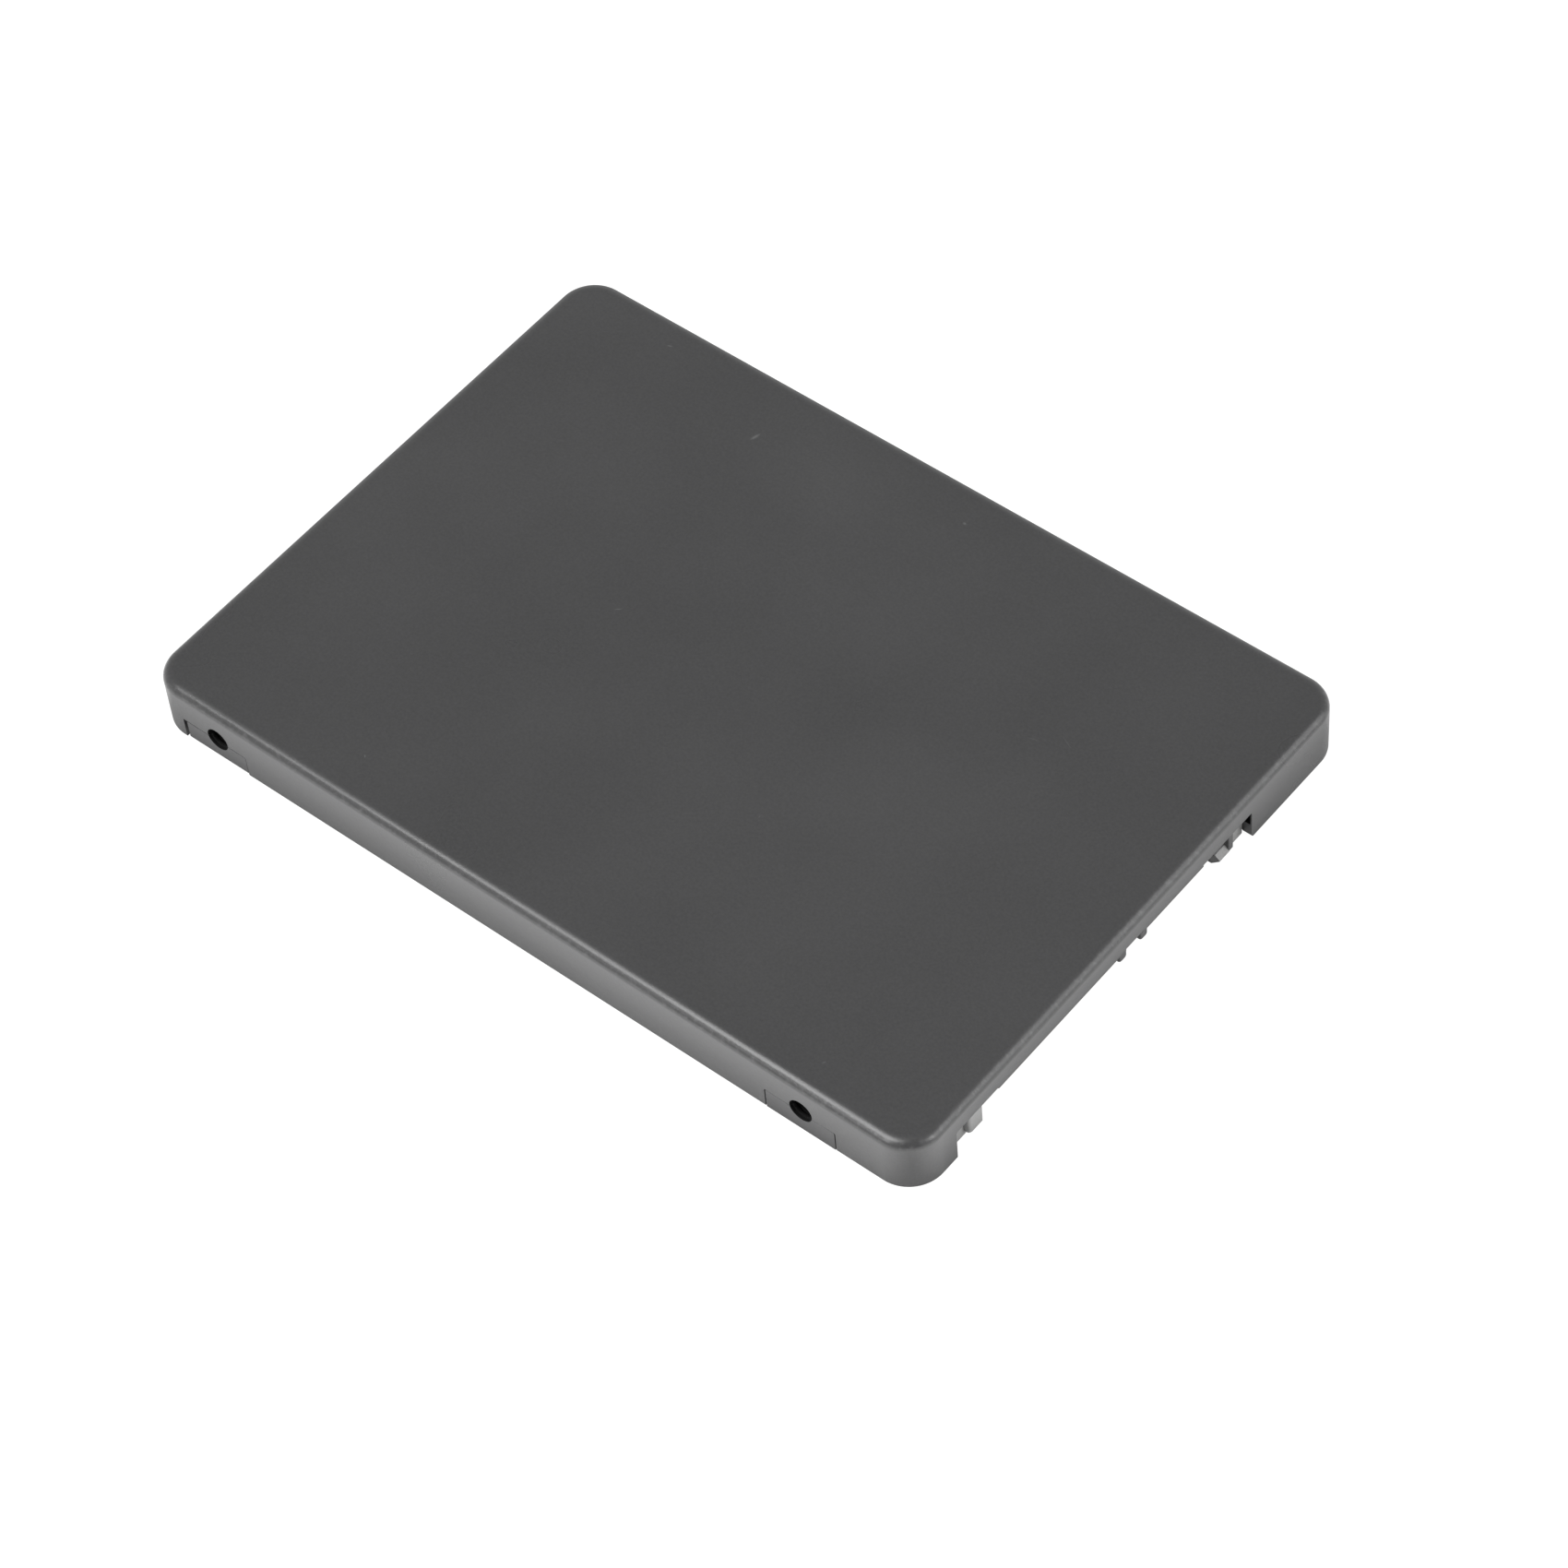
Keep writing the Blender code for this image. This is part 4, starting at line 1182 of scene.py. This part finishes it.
# ------------------------------------------------------------------ packages
def grid_array(name, node, pin_dot=True, cap_inset=0.0):
    """Ball-grid package: thin laminate carrier, moulded cap, ball ring under it."""
    x, y, z = span(node)
    p = Piece(name, CHIP, LAMINATE, TIN, BORE_SHADE_AND_PIN_DOT)
    z0 = T + 0.10
    p.add(1, slab, x, y, (z0, z0 + 0.24), r=0.12, top=0.015, low=0.015, steps=3)
    i = cap_inset
    p.add(0, slab, (x[0] + i, x[1] - i), (y[0] + i, y[1] - i), (z0 + 0.24, z[1]), r=0.15, top=0.05, steps=4, draft=0.04)
    if pin_dot:
        p.add(3, washer, x[0] + 1.3, y[1] - 1.3, 0.02, 0.34, (z[1] - 0.004, z[1] + 0.006), 28)
    nx, ny = int((x[1] - x[0] - 1.0) / 0.8), int((y[1] - y[0] - 1.0) / 0.8)
    cx, cy = sum(x) / 2, sum(y) / 2
    for a in range(nx + 1):
        for b in range(ny + 1):
            if 0 < a < nx and 0 < b < ny:
                continue
            p.add(2, lathe, [(0.12, T + 0.004), (0.20, T + 0.045), (0.20, T + 0.065), (0.13, z0 - 0.001)],
                  (cx + (a - nx / 2) * 0.8, cy + (b - ny / 2) * 0.8, 0.0), "Z", 10)
    p.done("base_unit", [node])


grid_array("controller_package", "controller_chip", cap_inset=0.35)
grid_array("working_memory_package", "dram_chip", cap_inset=0.0)
for i in range(1, 5):
    grid_array(f"flash_memory_package_{i}", f"nand_flash_{i}")


def gull_wing_chip():
    x, y, z = span("firmware_flash_chip")
    p = Piece("firmware_flash_package", CHIP, TIN, BORE_SHADE_AND_PIN_DOT)
    cx, cy = sum(x) / 2, sum(y) / 2
    p.add(0, slab, (x[0], x[1]), (cy - 1.55, cy + 1.55), (T + 0.18, T + 0.80), r=0.06, top=0.0, low=0.03, steps=3)
    p.add(0, slab, (x[0], x[1]), (cy - 1.55, cy + 1.55), (T + 0.80, z[1]), r=0.06, top=0.04, steps=3, draft=0.12)
    p.add(2, washer, x[0] + 0.7, cy + 0.9, 0.02, 0.25, (z[1] - 0.004, z[1] + 0.006), 24)
    for k in range(4):
        px = cx + (k - 1.5) * 1.27
        for s_ in (1, -1):
            prof = [(1.50, 0.70), (1.78, 0.70), (1.90, 0.64), (1.98, 0.20), (2.06, 0.14), (2.45, 0.14),
                    (2.45, 0.01), (2.00, 0.01), (1.88, 0.07), (1.80, 0.50), (1.72, 0.57), (1.50, 0.57)]
            pts = [(cy + s_ * a, T + b) for a, b in prof]
            p.add(1, prism, pts, (px - 0.2, px + 0.2), "YZ")
    p.done("base_unit", ["firmware_flash_chip"])


gull_wing_chip()


def power_chip():
    x, y, z = span("power_management_chip")
    p = Piece("power_management_package", CHIP, TIN, BORE_SHADE_AND_PIN_DOT)
    cx, cy = sum(x) / 2, sum(y) / 2
    p.add(0, slab, x, y, (T + 0.05, z[1]), r=0.05, top=0.03, steps=3)
    for k in range(6):
        o = (k - 2.5) * 0.55
        for s_ in (1, -1):
            u = sorted((s_ * 1.80, s_ * 2.03))
            p.add(1, box, (cx + u[0], cx + u[1]), (cy + o - 0.13, cy + o + 0.13), (T + 0.01, T + 0.26))
            p.add(1, box, (cx + o - 0.13, cx + o + 0.13), (cy + u[0], cy + u[1]), (T + 0.01, T + 0.26))
    p.add(2, washer, x[0] + 0.6, y[1] - 0.6, 0.02, 0.18, (z[1] - 0.004, z[1] + 0.006), 20)
    p.done("base_unit", ["power_management_chip"])


power_chip()

for i in (1, 2):
    x, y, z = span(f"power_inductor_{i}")
    p = Piece(f"power_inductor_body_{i}", FERRITE, TIN)
    p.add(0, slab, x, y, (T + 0.12, z[1]), r=0.75, top=0.18, low=0.05, steps=6)
    for s_ in (0, 1):
        ends = (x[0] - 0.04, x[0] + 0.9) if s_ == 0 else (x[1] - 0.9, x[1] + 0.04)
        p.add(1, slab, ends, (sum(y) / 2 - 1.4, sum(y) / 2 + 1.4), (T + 0.01, T + 0.42), r=0.08, top=0.05, steps=2)
    p.done("base_unit", [f"power_inductor_{i}"])

for i in (1, 2):
    x, y, z = span(f"polymer_capacitor_{i}")
    cy = sum(y) / 2
    p = Piece(f"polymer_capacitor_body_{i}", POLYMER, TIN, BAND)
    p.add(0, slab, (x[0] + 0.15, x[1] - 0.15), y, (T + 0.15, z[1]), r=0.12, top=0.10, low=0.08, steps=4, draft=0.12)
    p.add(2, slab, (x[0] + 0.45, x[0] + 1.35), (y[0] + 0.3, y[1] - 0.3), (z[1] - 0.01, z[1] + 0.006), r=0.1, top=0.0, steps=3)
    for ends in ((x[0], x[0] + 0.28), (x[1] - 0.28, x[1])):
        p.add(1, slab, ends, (cy - 1.2, cy + 1.2), (T + 0.01, T + 0.95), r=0.08, top=0.06, steps=3)
    for ends in ((x[0], x[0] + 1.2), (x[1] - 1.2, x[1])):
        p.add(1, slab, ends, (cy - 1.2, cy + 1.2), (T + 0.012, T + 0.13), r=0.08, top=0.03, steps=3)
    p.done("base_unit", [f"polymer_capacitor_{i}"])

for i in (1, 2, 3, 4):
    x, y, z = span(f"ceramic_capacitor_{i}")
    p = Piece(f"ceramic_capacitor_body_{i}", CERAMIC, TIN)
    z0 = T + 0.03
    p.add(0, slab, (x[0] + 0.03, x[1] - 0.03), (y[0] + 0.55, y[1] - 0.55), (z0 + 0.03, z[1] - 0.03), r=0.03, top=0.06, steps=2)
    for ends in ((y[0], y[0] + 0.55), (y[1] - 0.55, y[1])):
        p.add(1, slab, x, ends, (z0, z[1]), r=0.14, top=0.13, low=0.05, steps=4)
    for ends in ((y[0] - 0.3, y[0] + 0.3), (y[1] - 0.3, y[1] + 0.3)):
        p.add(1, slab, x, ends, (T + 0.004, T + 0.10), r=0.1, top=0.05, steps=3)
    p.done("base_unit", [f"ceramic_capacitor_{i}"])

x, y, z = span("crystal_oscillator")
p = Piece("crystal_can_package", CHIP, CAN, GOLD)
p.add(0, slab, x, y, (T + 0.04, z[1] - 0.35), r=0.15, top=0.03, steps=3)
p.add(2, slab, (x[0] + 0.08, x[1] - 0.08), (y[0] + 0.08, y[1] - 0.08), (z[1] - 0.35, z[1] - 0.27), r=0.2, top=0.02, steps=4)
p.add(1, slab, (x[0] + 0.16, x[1] - 0.16), (y[0] + 0.16, y[1] - 0.16), (z[1] - 0.27, z[1]), r=0.3, top=0.09, steps=6)
p.done("base_unit", ["crystal_oscillator"])

for i, (sx, sy) in enumerate(BOARD_SCREWS, 1):
    def screw(bm, sx=sx, sy=sy):
        low = T + 0.05
        prof = [(0.80, 0.42), (0.80, low), (1.80, low), (1.90, low + 0.05), (1.92, low + 0.20)]
        for k in range(1, 9):
            a = math.radians(90 * k / 9)
            prof.append((0.55 + 1.37 * math.cos(a), low + 0.20 + 0.85 * math.sin(a)))
        lathe(bm, prof, (sx, sy, 0.0), "Z", 64)

    obj = tool(screw)
    obj.name = f"board_fixing_screw_{i}"
    obj.data.name = obj.name
    turn = 25.0 * i
    tools = []
    for a in (0.0, 90.0):
        def blade(bm, a=a, sx=sx, sy=sy):
            verts = prism(
                bm,
                [(-0.95, T + 1.6), (-0.95, T + 0.98), (-0.45, T + 0.58), (0.45, T + 0.58), (0.95, T + 0.98), (0.95, T + 1.6)],
                (-0.17, 0.17), "XZ",
            )
            m = Matrix.Translation((sx * MM, sy * MM, 0)) @ Matrix.Rotation(math.radians(a + turn), 4, "Z")
            bmesh.ops.transform(bm, matrix=m, verts=verts)

        tools.append(tool(blade))
    cut(obj, tools)
    shade(obj, 35)
    finish_piece(obj, SCREW, "base_unit", [f"board_screw_{i}"])

# ------------------------------------------------------------------ label and pad
x, y, z = span("bottom_label")
p = Piece("bottom_label_sheet", PAPER, PRINT)
p.add(0, slab, x, y, z, r=1.5, top=0.02, low=0.03, steps=8)
p.add(1, slab, (x[0] + 2.0, x[0] + 3.2), (y[0] + 2.5, y[1] - 2.5), (z[0] - 0.006, z[0] + 0.02), r=0.3, top=0.0, steps=4)
p.add(1, slab, (x[1] - 14.0, x[1] - 3.0), (y[1] - 6.5, y[1] - 3.0), (z[0] - 0.006, z[0] + 0.02), r=0.6, top=0.0, steps=5)
p.add(1, slab, (x[0] + 6.0, x[1] - 18.0), (y[0] + 3.2, y[0] + 4.0), (z[0] - 0.006, z[0] + 0.02), r=0.3, top=0.0, steps=4)
p.done("base_unit", ["bottom_label"])


def pad_piece():
    x, y, z = span("thermal_pad")
    bm = bmesh.new()
    cx, cy, hx, hy = sum(x) / 2, sum(y) / 2, (x[1] - x[0]) / 2, (y[1] - y[0]) / 2
    rings = []
    n = 12
    for i in range(n + 1):
        t = i / n
        bulge = -0.16 + 0.16 * math.sin(math.pi * t) ** 0.6 if 0 < t < 1 else -0.16
        h = z[0] + (z[1] - z[0]) * t
        pts = rounded(hx + bulge, hy + bulge, 0.5, 6)
        rings.append(ring(bm, [(cx + a, cy + b) for a, b in pts], h))
    loft(bm, rings)
    obj = to_object("thermal_pad_cushion", bm)
    shade(obj, 50)
    finish_piece(obj, PAD, "cover_unit", ["thermal_pad"])


pad_piece()

# ------------------------------------------------------------------ stage
floor_bm = bmesh.new()
bmesh.ops.create_grid(floor_bm, x_segments=1, y_segments=1, size=3.0)
floor = to_object("floor", floor_bm)
floor.location.z = -0.00002
# The floor is plain white to the camera. What the drive mirrors of it is painted light and painted shade: a paper sweep
# coloured brighter on the lit sides, darker right against the walls as a painted contact shadow, and glowing beside the
# -Y side and the connector end as painted bounce light.
fn = Nodes("floor_painted_light")
fvec = fn.coords()
sep = fn.add("ShaderNodeSeparateXYZ")
fn.link(fvec, sep.inputs[0])
side = fn.maths("SUBTRACT", sep.outputs["X"], sep.outputs["Y"])
# painted light: the mirrored paper is brighter towards +X and -Y; painted shade: it is darker within 4 mm of the walls,
# as a contact shadow
painted_side_light = fn.ramp(side, -0.06, 0.05, 0.42, 0.90)
gap_x = fn.maths("SUBTRACT", fn.maths("ABSOLUTE", sep.outputs["X"]), HALF_L * MM)
gap_y = fn.maths("SUBTRACT", fn.maths("ABSOLUTE", sep.outputs["Y"]), HALF_W * MM)
gap = fn.maths("MAXIMUM", gap_x, gap_y)
painted_light_and_shade_tone = fn.maths("MULTIPLY", painted_side_light, fn.ramp(gap, 0.0, 0.004, 0.50, 1.0))
painted_light_and_shade_tone = fn.maths("ADD", painted_light_and_shade_tone, fn.ramp(fn.noise(fvec, 6.0), 0.3, 0.7, -0.01, 0.01))
fn.set("Base Color", fn.mix(painted_light_and_shade_tone, (0.0, 0.0, 0.0), (1.0, 1.0, 1.0)))
fn.set("Roughness", 0.9)
fn.set("Specular IOR Level", 0.1)
glow = fn.add("ShaderNodeEmission")
glow.inputs["Strength"].default_value = 1.12
paper = fn.add("ShaderNodeBsdfDiffuse")
paper.inputs["Color"].default_value = (0.88, 0.88, 0.88, 1.0)
seen = fn.add("ShaderNodeMixShader")
seen.inputs[0].default_value = FLOOR_SHADE
fn.link(glow.outputs[0], seen.inputs[1])
fn.link(paper.outputs[0], seen.inputs[2])
path = fn.add("ShaderNodeLightPath")
both = fn.add("ShaderNodeMixShader")
# painted bounce light: for reflected rays the floor glows beside the -Y side and the connector end, less right against
# the walls and off the near corner
painted_bounce_glow = fn.add("ShaderNodeEmission")
painted_glow_left = fn.maths("MULTIPLY", fn.ramp(sep.outputs["Y"], 0.0, -0.03, 0.0, 0.92),
                     fn.ramp(gap, 0.0, 0.004, 0.28, 1.0))
painted_glow_end = fn.maths("MULTIPLY", fn.ramp(sep.outputs["X"], 0.030, 0.048, 0.0, 0.42),
                    fn.ramp(gap, 0.0, 0.003, 0.75, 1.0))
glow_dimmed_at_corner = fn.maths("MULTIPLY", fn.ramp(sep.outputs["X"], 0.040, 0.055), fn.ramp(sep.outputs["Y"], -0.028, -0.045))
painted_glow_strength = fn.maths("MULTIPLY", fn.maths("MAXIMUM", painted_glow_left, painted_glow_end),
                  fn.maths("SUBTRACT", 1.0, fn.maths("MULTIPLY", glow_dimmed_at_corner, 0.45)))
fn.link(painted_glow_strength, painted_bounce_glow.inputs["Strength"])
paper_with_painted_light = fn.add("ShaderNodeAddShader")
fn.link(fn.bsdf.outputs[0], paper_with_painted_light.inputs[0])
fn.link(painted_bounce_glow.outputs[0], paper_with_painted_light.inputs[1])
fn.link(path.outputs["Is Camera Ray"], both.inputs[0])
fn.link(paper_with_painted_light.outputs[0], both.inputs[1])
fn.link(seen.outputs[0], both.inputs[2])
fn.link(both.outputs[0], fn.tree.nodes["Material Output"].inputs["Surface"])
floor.data.materials.append(fn.mat)

world = bpy.data.worlds.new("studio")
bpy.context.scene.world = world
world.use_nodes = True
wt = world.node_tree
bg = wt.nodes["Background"]
direction = wt.nodes.new("ShaderNodeTexCoord")
parts = wt.nodes.new("ShaderNodeSeparateXYZ")
wt.links.new(direction.outputs["Generated"], parts.inputs[0])
fade = wt.nodes.new("ShaderNodeMapRange")
fade.inputs["From Min"].default_value = 0.0
fade.inputs["From Max"].default_value = 0.75
fade.inputs["To Min"].default_value = WORLD_HORIZON
fade.inputs["To Max"].default_value = WORLD_ZENITH
wt.links.new(parts.outputs["Z"], fade.inputs["Value"])
bg.inputs["Color"].default_value = (1, 1, 1, 1)
# a darker part of the room lies on the camera's side, low down


def world_maths(op, a, b=None):
    m = wt.nodes.new("ShaderNodeMath")
    m.operation = op
    for i, v in enumerate((a, b)):
        if isinstance(v, (int, float)):
            m.inputs[i].default_value = v
        elif v is not None:
            wt.links.new(v, m.inputs[i])
    return m.outputs[0]


px, py = parts.outputs["X"], parts.outputs["Y"]
flat_len = world_maths("SQRT", world_maths("ADD", world_maths("MULTIPLY", px, px), world_maths("MULTIPLY", py, py)))
toward = world_maths("ADD", world_maths("MULTIPLY", px, 0.70), world_maths("MULTIPLY", py, -0.714))
toward = world_maths("DIVIDE", toward, world_maths("MAXIMUM", flat_len, 0.001))
dim = wt.nodes.new("ShaderNodeMapRange")
dim.inputs["From Min"].default_value = 0.766
dim.inputs["From Max"].default_value = 0.95
dim.inputs["To Min"].default_value = 1.0
dim.inputs["To Max"].default_value = 0.12
wt.links.new(toward, dim.inputs["Value"])
# seen directly, the room is the same plain white as the floor
seen_ray = wt.nodes.new("ShaderNodeLightPath").outputs["Is Camera Ray"]
lit_part = world_maths("MULTIPLY", fade.outputs["Result"], dim.outputs["Result"])
lit_part = world_maths("MULTIPLY", lit_part, world_maths("SUBTRACT", 1.0, seen_ray))
wt.links.new(world_maths("ADD", lit_part, world_maths("MULTIPLY", seen_ray, 1.05)), bg.inputs["Strength"])


def area(name, direction, distance, size, power, size_y=None):
    light = bpy.data.lights.new(name, "AREA")
    light.energy = power
    light.size = size
    if size_y:
        light.shape = "RECTANGLE"
        light.size_y = size_y
    obj = bpy.data.objects.new(name, light)
    bpy.context.scene.collection.objects.link(obj)
    d = Vector(direction).normalized()
    obj.location = d * distance
    obj.rotation_mode = "QUATERNION"
    obj.rotation_quaternion = (-d).to_track_quat("-Z", "Y")
    return obj


area("key_softbox", (-0.297, -0.476, 1.02), 1.6, 0.8, 21.0)
area("side_softbox", (0.79, 0.38, 0.46), 1.7, 1.3, 13.5)
area("strip_left", (-0.205, -0.793, 0.574), 1.6, 0.12, 4.0, 0.45)
area("strip_right", (0.801, 0.110, 0.574), 1.6, 0.12, 3.6, 0.45)

# ------------------------------------------------------------------ camera
cam_data = bpy.data.cameras.new("camera")
cam_data.sensor_width = 36.0
cam_data.lens = 115.70
cam_data.clip_start = 0.01
cam_data.clip_end = 20.0
cam = bpy.data.objects.new("camera", cam_data)
bpy.context.scene.collection.objects.link(cam)
right = Vector((0.7743, 0.6297, -0.0630)).normalized()
back = Vector((0.4277, -0.4473, 0.7855)).normalized()
up = back.cross(right).normalized()
right = up.cross(back).normalized()
cam.matrix_world = Matrix(
    (
        (right.x, up.x, back.x, 0.22597),
        (right.y, up.y, back.y, -0.23127),
        (right.z, up.z, back.z, 0.40020),
        (0, 0, 0, 1),
    )
)
bpy.context.scene.camera = cam

view = bpy.context.scene.view_settings
view.view_transform = "Standard"
view.look = "None"
view.exposure = 0.0
view.gamma = 1.0
